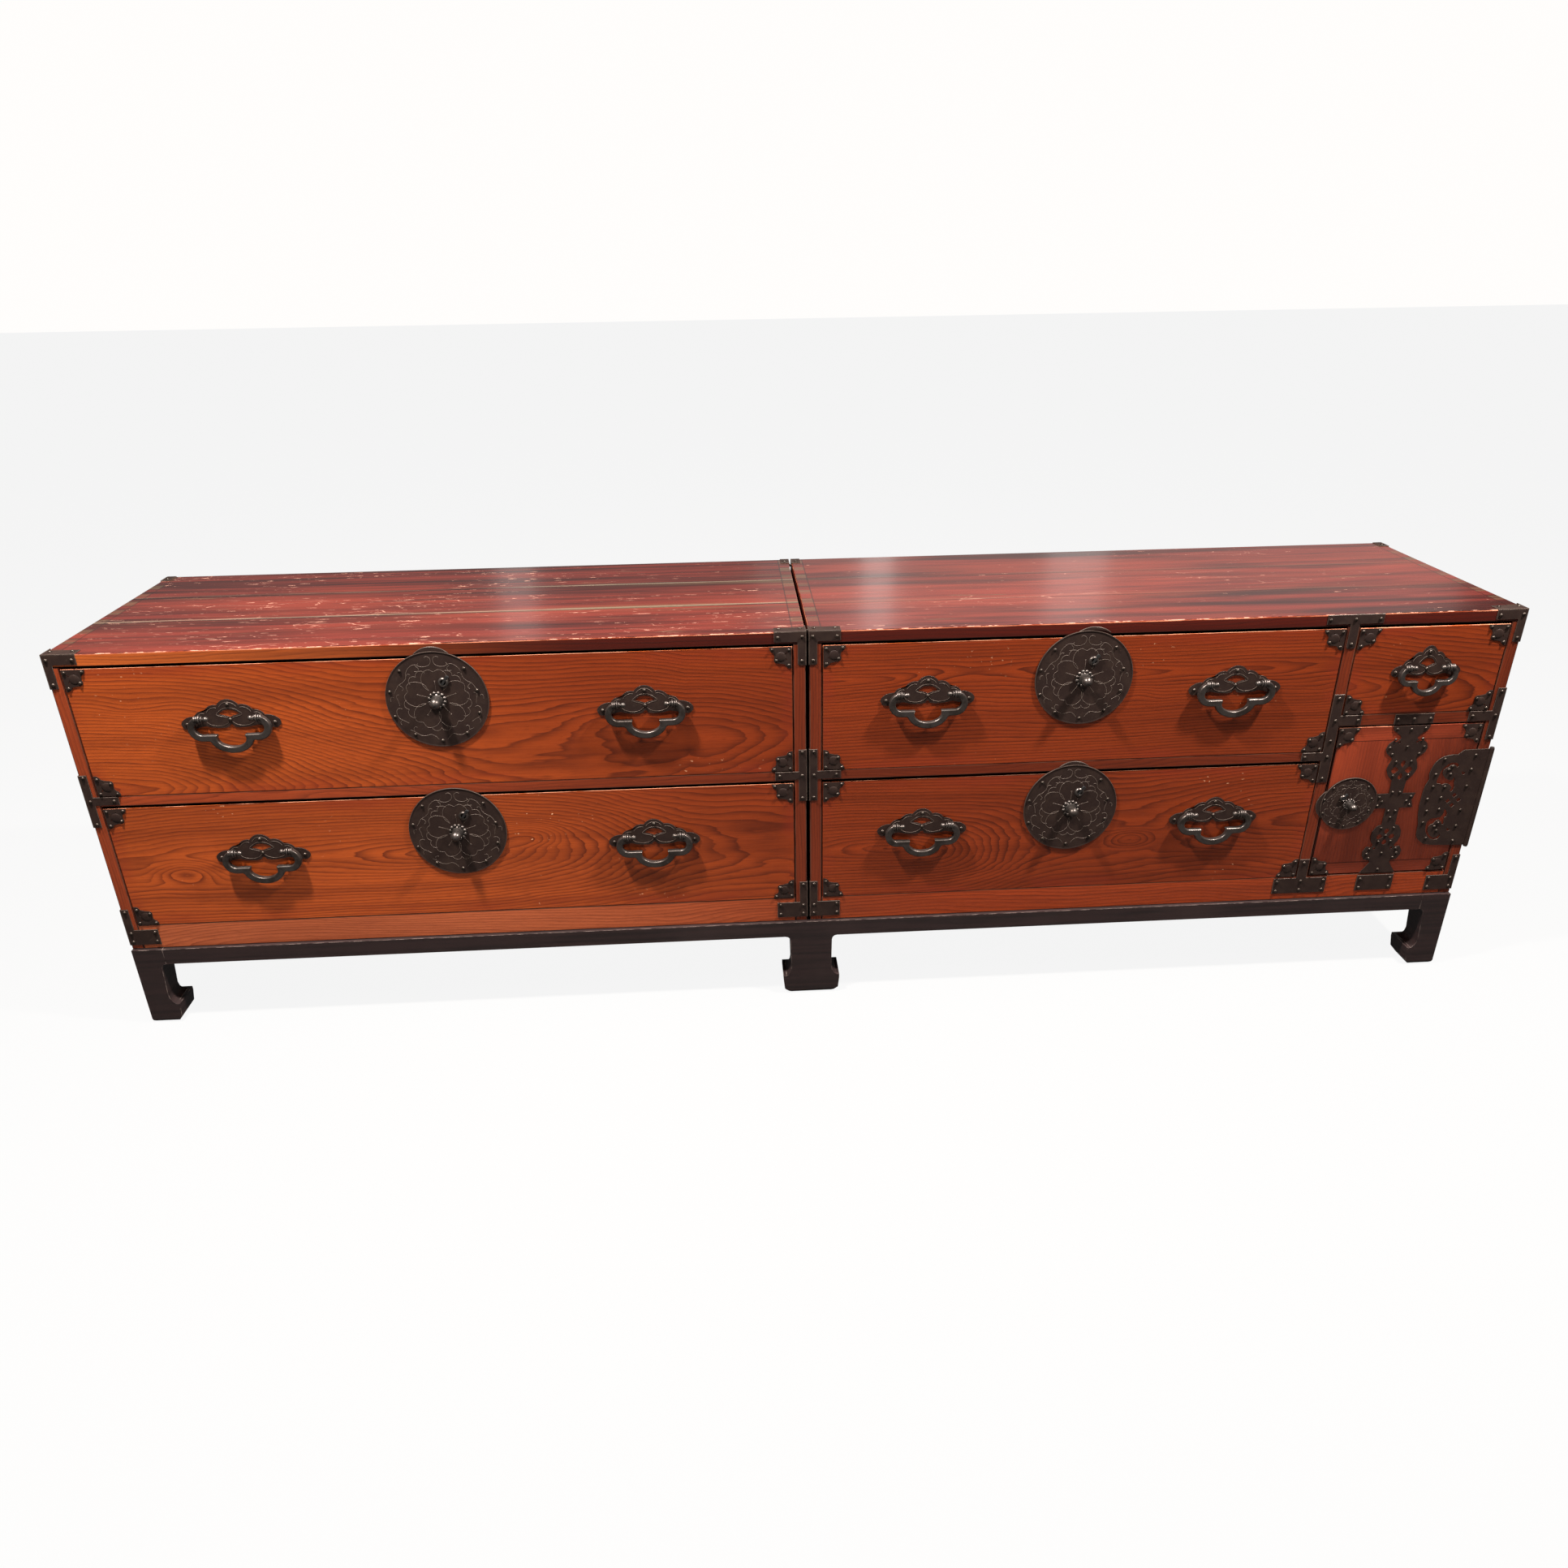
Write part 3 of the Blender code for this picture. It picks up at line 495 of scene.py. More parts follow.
def fromFrame(node, name):  # a copy of the frame's own solid, its points joined, left open in edit mode
    solo(frame["nodes"][node])
    bpy.ops.object.duplicate(linked=False)
    piece = bpy.context.object
    bpy.ops.object.parent_clear(type="CLEAR_KEEP_TRANSFORM")
    for key in list(piece.keys()):
        del piece[key]
    piece.name = name
    pick(piece, "vertices", lambda vertex: True)
    bpy.ops.mesh.customdata_custom_splitnormals_clear()
    bpy.ops.mesh.remove_doubles(threshold=weld)
    bpy.ops.mesh.select_all(action="SELECT")
    return piece


def plainCoat(piece, *looks):  # every face in the first material
    takeMaterials(piece, *looks)
    for polygon in piece.data.polygons:
        polygon.material_index = 0


def rounded(piece, width, segments, angle, material=-1):
    bevel = piece.modifiers.new("rounded", "BEVEL")
    bevel.width = width
    bevel.segments = segments
    bevel.limit_method = "ANGLE"
    bevel.angle_limit = radians(angle)
    bevel.material = material
    solo(piece)
    bpy.ops.object.modifier_apply(modifier="rounded")


def rimEdge(mesh, face):  # front edges between a plate's face and its sides
    steep = {}
    for polygon in mesh.polygons:
        for key in polygon.edge_keys:
            steep.setdefault(key, []).append(abs(polygon.normal.y))
    def test(edge):
        ends = [mesh.vertices[index].co.y for index in edge.vertices]
        if max(abs(end - face) for end in ends) > weld:
            return False
        slopes = steep.get(tuple(sorted(edge.vertices)), [])
        return len(slopes) == 2 and min(slopes) < 0.5 < max(slopes)
    return test


def tracedPlate(name, outline, face, back):  # a circle's points are set on the outline, then pulled out
    plate = added(bpy.ops.mesh.primitive_circle_add, vertices=len(outline), radius=0.01, fill_type="NGON")
    plate.name = name
    for vertex, (across, up) in zip(plate.data.vertices, outline):
        vertex.co = (across, back, up)
    pick(plate, "polygons", lambda polygon: True)
    bpy.ops.mesh.extrude_region_move(TRANSFORM_OT_translate={"value": (0, face - back, 0)})
    bpy.ops.mesh.select_all(action="SELECT")
    bpy.ops.mesh.normals_make_consistent(inside=False)
    closeEdit()
    return plate


def cutThrough(plate, cutters):
    cutter = joined("cutter", cutters)
    modifier = plate.modifiers.new("windows", "BOOLEAN")
    modifier.operation = "DIFFERENCE"
    modifier.solver = "EXACT"
    modifier.object = cutter
    solo(plate)
    bpy.ops.object.modifier_apply(modifier="windows")
    bpy.data.objects.remove(cutter, do_unlink=True)


def rubbedRim(plate, face, width):  # the worn bright edge, in the second material
    takeMaterials(plate, iron, rubbedIron)
    pick(plate, "edges", rimEdge(plate.data, face))
    bpy.ops.mesh.bevel(offset=width, segments=1, affect="EDGES", material=1, clamp_overlap=True)
    closeEdit()
    return plate


def arcPoints(across, up, radius, first, last, steps, rise=None):
    rise = radius if rise is None else rise
    points = []
    for step in range(steps + 1):
        angle = radians(first + (last - first) * step / steps)
        points.append((across + radius * cos(angle), up + rise * sin(angle)))
    return points


def scaled(points, size=mm):
    return [(across * size, up * size) for across, up in points]


def mirrored(points):
    return [(-across, up) for across, up in points]


def spun(points, turn):
    c, s = cos(radians(turn)), sin(radians(turn))
    return [(u * c - v * s, u * s + v * c) for u, v in points]


def flowing(points, steps):  # a smooth line through the points
    line = []
    last = len(points) - 1
    for index in range(last):
        four = [points[min(max(index + near, 0), last)] for near in (-1, 0, 1, 2)]
        for step in range(steps):
            t = step / steps
            line.append(tuple(
                0.5 * (2 * b + (c - a) * t + (2 * a - 5 * b + 4 * c - d) * t * t
                       + (3 * b - a - 3 * c + d) * t * t * t)
                for a, b, c, d in zip(*four)))
    return line + [points[-1]]


def wires(name, chains, radius, face, material):  # thin raised lines in place of chased ones
    bpy.ops.object.select_all(action="DESELECT")
    bpy.ops.object.add(type="CURVE")
    wire = bpy.context.object
    wire.name = name
    curve = wire.data
    curve.dimensions = "3D"
    curve.bevel_depth = radius
    curve.bevel_resolution = 0
    for chain in chains:
        spline = curve.splines.new("POLY")
        spline.points.add(len(chain) - 1)
        for point, (across, up) in zip(spline.points, chain):
            point.co = (across, face, up, 1)
    solo(wire)
    bpy.ops.object.convert(target="MESH")
    wire = bpy.context.object
    takeMaterials(wire, material)
    return wire


def turned(name, profile, steps, axis="Y"):  # profile of radius and place along the axis, spun round
    piece = added(bpy.ops.mesh.primitive_circle_add, vertices=len(profile), radius=0.01,
                  fill_type="NOTHING")
    piece.name = name
    for vertex, (radius, place) in zip(piece.data.vertices, profile):
        vertex.co = (radius, place, 0)
    last = len(profile) - 1
    pick(piece, "edges", lambda edge: set(edge.vertices) == {0, last})
    bpy.ops.mesh.delete(type="EDGE")
    bpy.ops.mesh.select_all(action="SELECT")
    bpy.ops.mesh.spin(steps=steps, angle=2 * pi, center=(0, 0, 0), axis=(0, 1, 0))
    bpy.ops.mesh.select_all(action="SELECT")
    bpy.ops.mesh.remove_doubles(threshold=weld)
    bpy.ops.mesh.normals_make_consistent(inside=False)
    closeEdit()
    if axis == "X":
        piece.data.transform(Matrix.Rotation(radians(-90), 4, "Z"))
    return piece


nailLook = {"radius": 3.0 * mm, "rise": 2.4 * mm, "sunk": 0.6 * mm, "around": 10, "rings": 6}


def nailModel():
    nail = added(bpy.ops.mesh.primitive_uv_sphere_add, segments=nailLook["around"],
                 ring_count=nailLook["rings"], radius=nailLook["radius"], rotation=(radians(90), 0, 0))
    pick(nail, "polygons", lambda polygon: polygon.center.y > weld / 2)
    bpy.ops.mesh.delete(type="FACE")
    bpy.ops.mesh.select_all(action="SELECT")
    bpy.ops.transform.resize(value=(1, nailLook["rise"] / nailLook["radius"], 1))
    bpy.ops.mesh.select_mode(type="EDGE")
    bpy.ops.mesh.region_to_loop()
    bpy.ops.mesh.extrude_region_move(TRANSFORM_OT_translate={"value": (0, nailLook["sunk"], 0)})
    bpy.ops.mesh.edge_face_add()
    closeEdit()
    for vertex in nail.data.vertices:
        vertex.co.y = min(vertex.co.y, nailLook["sunk"])
    takeMaterials(nail, nailSteel)
    nail.data.polygons.foreach_set("use_smooth", [True] * len(nail.data.polygons))
    return nail


nail = nailModel()


def shift(across, face, up):
    return Matrix.Translation((across, face, up))


def grown(across, face, up):
    return Matrix.Diagonal((across, face, up, 1))


def nails(places, face, size=1.0):
    return [copied(nail, shift(across, face, up) @ grown(size, size, size), "nail") for across, up in places]


def boxMiddle(node):
    low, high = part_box(node)
    return (low + high) / 2


def drop(*pieces):
    for piece in pieces:
        bpy.data.objects.remove(piece, do_unlink=True)


def eased(node, name, width, looks):  # a board with rounded edges, these in its last material
    piece = fromFrame(node, name)
    bpy.ops.mesh.dissolve_limited(angle_limit=radians(0.5))
    closeEdit()
    plainCoat(piece, *looks)
    rounded(piece, width, 2, 30, len(looks) - 1)
    return smoothed(piece, 35)


backSeams = (0.28, 0.42, 0.55)  # heights of the joints between the back's boards


def board(node, body, kind, grain, seed, heart, width, eyes=None, nicks=(0, 0)):
    if eyes is None:
        seams = backSeams if node.endswith("_back") else ()
        main = woodMaterial(node + "Wood", kind, grain, seed, heart, seams=seams)
        # the edges: painted shade in the gaps, with a little rubbed wear
        edge = edgeWearAndShadeMaterial(node + "Edge", kind, grain, seed, heart, 0.06, 0.75)
    else:
        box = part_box(node)
        main = woodMaterial(node + "Wood", kind, grain, seed, heart, box, eyes, nicks)
        # the upper arris pale, partly wear and partly painted highlight; the other arrises painted shade
        edge = edgeWearAndShadeMaterial(node + "Edge", kind, grain, seed, heart, 0.80, 0.6, box[1].z)
    piece = eased(node, node + "_board", width, (main, edge))
    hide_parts(node)
    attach(piece, body)


# wood, grain, seed, heart, eyes, nicks
boards = {
    "left_upper_drawer_front": ("front", "X", 3.1, (0.458, 0.12, 0.22, -1.05, -0.2),
        ((-1.07, 0.6, 0.04),)),
    "left_lower_drawer_front": ("front", "X", 7.7, (0.318, 0.13, -0.13, -1.1, -0.3),
        ((-1.051, 0.297, 0.036), (-0.474, 0.348, 0.036)), (-0.52, -0.36)),
    "right_upper_drawer_front": ("front", "X", 12.4, (0.6, 0.08),
        ((0.548, 0.558, 0.028), (0.833, 0.547, 0.03))),
    "right_lower_drawer_front": ("front", "X", 18.9, (0.29, 0.08), ((0.56, 0.29, 0.028),)),
    "small_drawer_front": ("front", "X", 23.5, (0.57, 0.06), ()),
    "left_case_left_side": ("rail", "Z", 31.0, (-1.2, 0.09)),
    "left_case_right_side": ("rail", "Z", 32.0, (0.05, 0.09)),
    "right_case_left_side": ("rail", "Z", 33.0, (-0.06, 0.09)),
    "right_case_right_side": ("rail", "Z", 34.0, (1.22, 0.09)),
    "left_case_divider": ("rail", "X", 35.0, (0.47, 0.06)),
    "right_case_divider": ("rail", "X", 36.0, (0.48, 0.06)),
    "left_case_bottom": ("case", "X", 37.0, (0.13, 0.05)),
    "right_case_bottom": ("case", "X", 38.0, (0.12, 0.05)),
    "right_case_partition": ("rail", "Z", 39.0, (0.8, 0.07)),
    "right_case_small_divider": ("rail", "X", 40.0, (0.54, 0.06)),
    "left_case_back": ("case", "X", 41.0, (0.4, 0.08)),
    "right_case_back": ("case", "X", 42.0, (0.45, 0.08)),
}
edgeWidths = {"front": 0.0010, "rail": 0.0016, "case": 0.0016, "back": 0.0006}
for node, (kind, grain, seed, heart, *marks) in boards.items():
    body = node.removesuffix("_front") if kind == "front" else "chest"
    width = edgeWidths["back" if node.endswith("_back") else kind]
    board(node, body, kind, grain, seed, heart, width, *marks)

# seams: distance from the front, where the bare streak begins, how strong it is
tops = {
    "left": {"seed": 5.3, "seams": ((0.158, -0.85, 1.0), (0.302, -0.50, 0.8)),
             "dash": 0.640, "hair": 1.0, "streak": 58},
    "right": {"seed": 15.8, "seams": ((0.150, 3.0, 0.1), (0.300, 3.0, 0.1)),
              "dash": 0.69, "hair": 0.5, "streak": 34},
}
for side, look in tops.items():
    node = side + "_case_top"
    look["left"] = caseX[side]
    heart = (0.72, 0.06)
    rail = woodMaterial(node + "Rail", "topRail", "X", look["seed"] + 20, heart)
    face = topMaterial(node + "Lacquer", look)
    # the upper front arris pale, partly wear and partly painted highlight; the other arrises painted shade
    edge = edgeWearAndShadeMaterial(node + "Edge", "rail", "X", look["seed"], heart, 0.45, 0.8, topZ)
    piece = eased(node, node + "_board", 0.0018, (rail, face, edge))
    for polygon in piece.data.polygons:
        if polygon.normal.z > 0.9:
            polygon.material_index = 1
    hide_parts(node)
    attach(piece, "chest")

standWood = standMaterial("standLacquer", False)
standEdge = standMaterial("standEdgeWearAndSheen", True)
for node in ("stand_long_frame", "stand_left_end", "stand_right_end"):
    piece = eased(node, node + "_wood", 0.0016, (standWood, standEdge))
    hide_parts(node)
    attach(piece, "chest")

for index, name in enumerate(drawers):
    node = frame["nodes"][name + "_drawer_box"]
    takeMaterials(node, woodMaterial(name + "BoxWood", "inner", "X", 50 + index, (0.4, 0.09)))
print("boards and stand done")


# all in millimetres; the door's lock is smaller by its size, and its lines are finer; veins and dot:
# where in each petal the line runs and the dot stands, from the middle, and the dot's radius
lockLook = {"around": 96, "rim": (1.43, 1.17), "rimStep": 0.7, "rub": 0.5, "slack": 0.2, "line": 0.25,
            "face": 1.9, "back": 0.3, "veins": (15, 30), "dot": (31, 0.9), "opening": (3.6, 0.2)}
bigLock = {"radius": 80.5, "size": 1.0, "ring": (13, 29, 7.5), "nail": 0.95}
doorLock = {"radius": 50, "size": 0.62, "ring": (-12.5, 11.5, 5.6), "nail": 0.7, "knob": (0.72, 0.85, 0.72)}
petalPoints = [(-36, 19), (-39, 27), (-36, 35), (-28, 43), (-19, 49), (-9, 51), (0, 46.5)]
backPetalPoints = [(-19, 47.5), (-16, 51.5), (-9, 53.5), (-3, 51.5), (0, 48)]
petalAxes = [90, 18, -54, -126, 162]
petalTurn = 36
vines = [
    [(11, 70.3), (8.1, 72.2), (3.4, 70.3), (1.9, 65.6), (4.3, 59), (11.9, 55.6), (19.5, 56.1),
     (23.3, 58.4), (30.8, 59), (38.4, 53.3), (43.1, 44.8), (44, 37.2), (49.7, 30.6), (57.3, 25.9),
     (62, 18.3), (65.8, 12.7)],
    [(21.4, 61.8), (23.6, 58.4)],
    [(26.1, 56.8), (22.3, 53.3), (23.3, 48.6), (28.9, 48.2)],
    [(36.5, 43.3), (40.3, 44.4), (42.8, 41)],
    [(56.6, 27), (52.6, 24), (50.1, 20.2), (53.1, 16.8)],
    [(58.2, 10.8), (62.9, 7.9), (61, -0.6), (60.1, -8.1)],
    [(67.7, 6), (70.9, 6.6), (72.8, 3.2), (72.4, -0.6)],
    [(57.3, -13.8), (60.1, -12.3), (63.9, -13.4), (66.4, -17.6), (65.8, -25.1), (62, -30.8),
     (55.4, -34.6), (49.7, -38.4)],
    [(60, -33), (63, -36.5), (62, -41.2)],
    [(38.4, -45.9), (41.2, -45), (43.7, -46.9), (43.7, -51.6)],
    [(49.7, -50.1), (44, -52.6), (38.4, -57.3), (30.8, -60.7), (23.3, -60.1), (17.6, -58.8),
     (11.9, -62), (7.2, -67.7)],
]
rimNails = [(-52, 50), (48, 51), (-72, 16), (64, 14), (-70, -26), (63, -24), (-43, -58), (39, -58),
            (-1, -70)]


def polar(axis, points):
    return [(radius * cos(radians(axis - angle)), radius * sin(radians(axis - angle)))
            for angle, radius in points]


def petalLine(axis, half, steps):  # one half, and its mirror image back from the tip
    other = mirrored(reversed(half))
    return flowing(polar(axis, half), steps) + flowing(polar(axis, other), steps)[1:]


def engraving(size):
    chains = []
    for axis in petalAxes:
        chains.append(petalLine(axis, petalPoints, 4))
        chains.append(petalLine(axis + petalTurn, backPetalPoints, 3))
        chains.append(polar(axis, [(0, radius) for radius in lockLook["veins"]]))
        circle, dot = lockLook["dot"]
        chains.append(arcPoints(*polar(axis, [(0, circle)])[0], dot, 0, 360, 8))
    for vine in vines:
        line = flowing(vine, 4)
        chains += [line, mirrored(line)]
    return [scaled(chain, mm * size) for chain in chains]


collarProfile = [(0.52, 0.4), (0.52, -2.4), (0.72, -3.4), (0.95, -2.9), (1.08, -1.2), (1.10, 0.4)]
keySlot = [(-1.7, -3.6), (1.7, -3.6), (1.7, 9.5), (3.6, 10.4), (3.2, 13.2), (-0.4, 13.4), (-1.7, 11.8)]
keyLean = -33


def lockPlateModel(lock):
    radius, size, (ringX, ringZ, ringRadius) = lock["radius"], lock["size"], lock["ring"]
    face, back = -lockLook["face"] * mm, -lockLook["back"] * mm
    step = lockLook["rimStep"] * mm
    plate = added(bpy.ops.mesh.primitive_circle_add, vertices=lockLook["around"], radius=radius * mm,
                  fill_type="NGON", location=(0, back, 0), rotation=(radians(90), 0, 0))
    takeMaterials(plate, iron, rubbedIron)
    pick(plate, "polygons", lambda polygon: True)
    bpy.ops.mesh.extrude_region_move(TRANSFORM_OT_translate={"value": (0, face - back - step, 0)})
    for wide in lockLook["rim"]:
        bpy.ops.mesh.inset(thickness=wide * mm, depth=0)
    bpy.ops.transform.translate(value=(0, step, 0))
    bpy.ops.mesh.select_all(action="SELECT")
    bpy.ops.mesh.normals_make_consistent(inside=False)
    closeEdit()
    def onRim(edge):
        ends = [plate.data.vertices[index].co for index in edge.vertices]
        return all(abs(end.y - (face - step)) < weld / 2
                   and hypot(end.x, end.z) > (radius - lockLook["slack"]) * mm for end in ends)
    pick(plate, "edges", onRim)
    bpy.ops.mesh.bevel(offset=lockLook["rub"] * mm, segments=2, affect="EDGES", material=1)
    closeEdit()
    smoothed(plate, 35)
    lines = wires("lines", engraving(size), lockLook["line"] * mm * size, face, chased)
    collar = turned("collar", [(ringRadius * share, place) for share, place in collarProfile], 24)
    collar.data.transform(grown(mm, mm, mm))
    collar.data.transform(shift(ringX * mm, face, ringZ * mm))
    takeMaterials(collar, steel)
    smoothed(collar, 60)
    growth = ringRadius / bigLock["ring"][2]
    shape = [(u * growth + ringX, v * growth + ringZ) for u, v in spun(keySlot, keyLean)]
    # the keyhole: a dark sheet in front of the plate, standing for the hole's shade
    opening = tracedPlate("opening", scaled(shape), *[face - out * mm for out in lockLook["opening"]])
    takeMaterials(opening, paintedKeyholeShade)
    studs = nails([(u * mm * size, v * mm * size) for u, v in rimNails], face, lock["nail"])
    return joined("lockPlate", [plate, lines, collar, opening] + studs)


# painted shade: the near-black of the keyhole, in place of the shade inside the hole
def keyholeShadeMaterial():
    dark = Finish("keyholeShadeSheet")
    stain = dark.noise(dark.coords, 300, 3)
    color = dark.mix(stain, tone(8, 6, 6), tone(20, 15, 13))
    return dark.wear(Base_Color=color, Roughness=stain * 0.2 + 0.6)


paintedKeyholeShade = keyholeShadeMaterial()
knobLook = {"beads": 12, "beadRadius": 3.1, "beadCircle": 12.2, "beadFront": 3.6}
knobProfile = [(0, -28.7), (2.9, -28.2), (5.6, -26.6), (7.6, -24.2), (8.6, -21.2), (8.4, -18.4),
               (7.2, -15.6), (5.6, -13.8), (5.4, -13.2), (7.4, -12.6), (7.7, -11.6), (7.2, -10.6),
               (5.3, -10.0), (5.1, -7.8), (5.8, -7.2), (8.2, -6.6), (10.2, -5.0), (11.2, -3.2),
               (11.4, -1.95), (0, -1.95)]


def knobModel():
    knob = turned("knob", scaled(knobProfile), 28)
    takeMaterials(knob, steel)
    smoothed(knob, 50)
    beads = []
    for step in range(knobLook["beads"]):
        angle = 2 * pi * (step + 0.5) / knobLook["beads"]
        circle = knobLook["beadCircle"] * mm
        place = (circle * cos(angle), -knobLook["beadFront"] * mm, circle * sin(angle))
        bead = added(bpy.ops.mesh.primitive_uv_sphere_add, segments=12, ring_count=8,
                     radius=knobLook["beadRadius"] * mm, location=place)
        bpy.ops.object.shade_smooth()
        takeMaterials(bead, steel)
        beads.append(bead)
    return joined("knobFace", [knob] + beads)


def hiddenPart(node, cutY):  # the shaft and the lever behind the plate, cut from the frame's own part
    piece = fromFrame(node, "shaft")
    bpy.ops.mesh.bisect(plane_co=(0, cutY, 0), plane_no=(0, -1, 0), use_fill=True, clear_outer=True)
    closeEdit()
    plainCoat(piece, steel)
    return smoothed(piece, 30)


bigPlate = lockPlateModel(bigLock)
doorPlate = lockPlateModel(doorLock)
knobFace = knobModel()
for name in wideDrawers + ("door",):
    middle = boxMiddle(name + "_lock_plate")
    place = shift(middle.x, frontY, middle.z)
    plate = copied(doorPlate if name == "door" else bigPlate, place, name + "_lock_disc")
    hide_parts(name + "_lock_plate")
    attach(plate, "door" if name == "door" else name + "_drawer")
    if name == "door":
        place = place @ grown(*doorLock["knob"])
    knob = copied(knobFace, place, name + "_knob")
    shaft = hiddenPart(name + "_lock_knob", frontY - lockLook["face"] * mm)
    knob = joined(name + "_lock_handle", [knob, shaft])
    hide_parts(name + "_lock_knob")
    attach(knob, name + "_lock")
drop(bigPlate, doorPlate, knobFace)
print("locks done")


handleLook = {"half": 77.0, "face": 1.5, "line": 0.38, "lobeLine": 0.78, "nail": 1.05, "eye": 44.2,
              "eyeRing": 5.4, "eyeWire": 1.6, "standOff": 9.5, "bar": 5.4, "lobe": 15.6, "reach": 59.0,
              "bowlHalf": 28.5, "bowlDepth": 21.0, "thick": 4.6, "round": 3.5, "endShift": -6.4, "top": 0.35}
# the plate's right half in shares of its half width: scallops (middle, radius, first and last angle, steps)
lobes = [(0.00, 0.081, 0.269, 90, 35, 7), (0.280, 0.0025, 0.241, 104, 29, 7),
         (0.534, -0.076, 0.2015, 103, 29, 6)]
endLobe = [(0.725, 0.024), (0.79, 0.020), (0.87, 0.000), (0.945, -0.045), (0.988, -0.095), (1.0, -0.145),
           (0.986, -0.198), (0.945, -0.242), (0.88, -0.262), (0.81, -0.254), (0.75, -0.240)]
lowerEdge = [(0.68, -0.225), (0.60, -0.205), (0.52, -0.19), (0.40, -0.22), (0.28, -0.235), (0.15, -0.24),
             (0.06, -0.22), (0.02, -0.17)]
windowEdge = [(0.0, -0.005), (0.05, 0.014), (0.10, 0.030), (0.16, 0.042), (0.215, 0.05), (0.17, 0.095),
              (0.10, 0.132), (0.05, 0.143), (0.0, 0.145)]
plateNails = [(0.0, 0.25), (0.0, -0.055), (0.885, -0.14), (-0.885, -0.14)]
crestLine = [(0.0, 0.178), (0.06, 0.176), (0.13, 0.155), (0.20, 0.110), (0.26, 0.055), (0.20, 0.022),
             (0.12, 0.004), (0.05, -0.020)]
leafLine = [(0.03, -0.10), (0.10, -0.16), (0.22, -0.195), (0.36, -0.18), (0.46, -0.13), (0.50, -0.06)]


def handlePlateModel(span, rise, crest):  # crest: how much taller the part above the eyes is
    half = handleLook["half"]
    side = []
    for across, up, radius, first, last, steps in lobes:
        side += arcPoints(across, up, radius, first, last, steps)
    side += flowing(endLobe, 2)
    def sized(points):
        return scaled([(u * half * span, v * half * rise * (crest if v > 0 else 1)) for u, v in points])
    face = -handleLook["face"] * mm
    side += lowerEdge
    plate = tracedPlate("plate", sized(side + mirrored(reversed(side[1:]))), face, -0.2 * mm)
    window = sized(windowEdge + mirrored(reversed(windowEdge[1:-1])))
    cutThrough(plate, [tracedPlate("window", window, face - 2 * mm, 2 * mm)])
    rubbedRim(plate, face, 0.5 * mm)
    chains = [flowing(crestLine, 3), flowing(leafLine, 3)]
    for across, up, radius, first, last, steps in lobes:
        chains.append(arcPoints(across, up, radius * handleLook["lobeLine"], first, last, 7))
    chains += [mirrored(chain) for chain in chains]
    lines = wires("lines", [sized(chain) for chain in chains], handleLook["line"] * mm, face, rubbedIron)
    studs = nails(sized(plateNails), face, handleLook["nail"])
    eyes = []
    for sign in (-1, 1):
        place = (sign * handleLook["eye"] * span * mm, -handleLook["standOff"] * mm, 0)
        eye = added(bpy.ops.mesh.primitive_torus_add, major_segments=20, minor_segments=10,
                    major_radius=handleLook["eyeRing"] * mm, minor_radius=handleLook["eyeWire"] * mm,
                    rotation=(0, radians(90), 0), location=place)
        bpy.ops.object.shade_smooth()
        takeMaterials(eye, steel)
        eyes.append(eye)
    return joined("handlePlate", [plate, lines] + studs + eyes)


# the bail's ribbed ends: radius and place along the pivot
endProfile = [(0, -7.6), (2.4, -7.0), (4.0, -5.4), (4.5, -3.4), (4.0, -1.4), (2.6, 0.2), (2.6, 1.6),
              (5.0, 2.0), (5.4, 3.0), (5.0, 4.0), (3.2, 4.4), (3.2, 8.4), (5.6, 8.8), (6.2, 10.0),
              (5.6, 11.2), (4.9, 11.5), (5.8, 12.0), (6.3, 13.2), (5.8, 14.4), (4.6, 15.0), (0, 15.2)]


def bailModel(span, rise):
    bar, lobe = handleLook["bar"], handleLook["lobe"]
    lobeX, bowl, depth = handleLook["reach"] - lobe, handleLook["bowlHalf"], handleLook["bowlDepth"]
    low = -lobe * 2
    outer = arcPoints(lobeX, -lobe, lobe + bar, 68, -90, 14)
    notch = bowl + bar
    outer += [(notch + 1.2, low - bar)]
    outer += arcPoints(0, low, notch, -16, -90, 9, depth + bar)
    inner = arcPoints(lobeX, -lobe, lobe - bar, 68, -90, 14)
    cusp = bowl - bar
    inner += [(cusp - 2.2, low + bar - 0.2), (cusp - 0.6, low + bar - 6.2)]
    inner += arcPoints(0, low, cusp, -20, -90, 7, depth - bar)
    ring = outer + mirrored(reversed(outer[:-1]))
    hole = mirrored(inner) + inner[-2::-1]
    outline = scaled([(u * span, v * rise) for u, v in ring + hole])
    face = -(handleLook["standOff"] + handleLook["thick"]) * mm
    back = -(handleLook["standOff"] - handleLook["thick"]) * mm
    bail = tracedPlate("bar", outline, face, back)
    takeMaterials(bail, steel)
    rounded(bail, handleLook["round"] * mm, 4, 60)
    smoothed(bail, 40)
    parts = [bail]
    for sign in (-1, 1):
        profile = [(radius, place + handleLook["endShift"]) for radius, place in endProfile]
        end = turned("end", scaled(profile), 18, "X")
        if sign < 0:
            end.data.transform(grown(-1, 1, 1))
            end.data.flip_normals()
        end.data.transform(shift(sign * handleLook["eye"] * span * mm, -handleLook["standOff"] * mm, 0))
        takeMaterials(end, steel)
        parts.append(smoothed(end, 60))
    return joined("bail", parts)


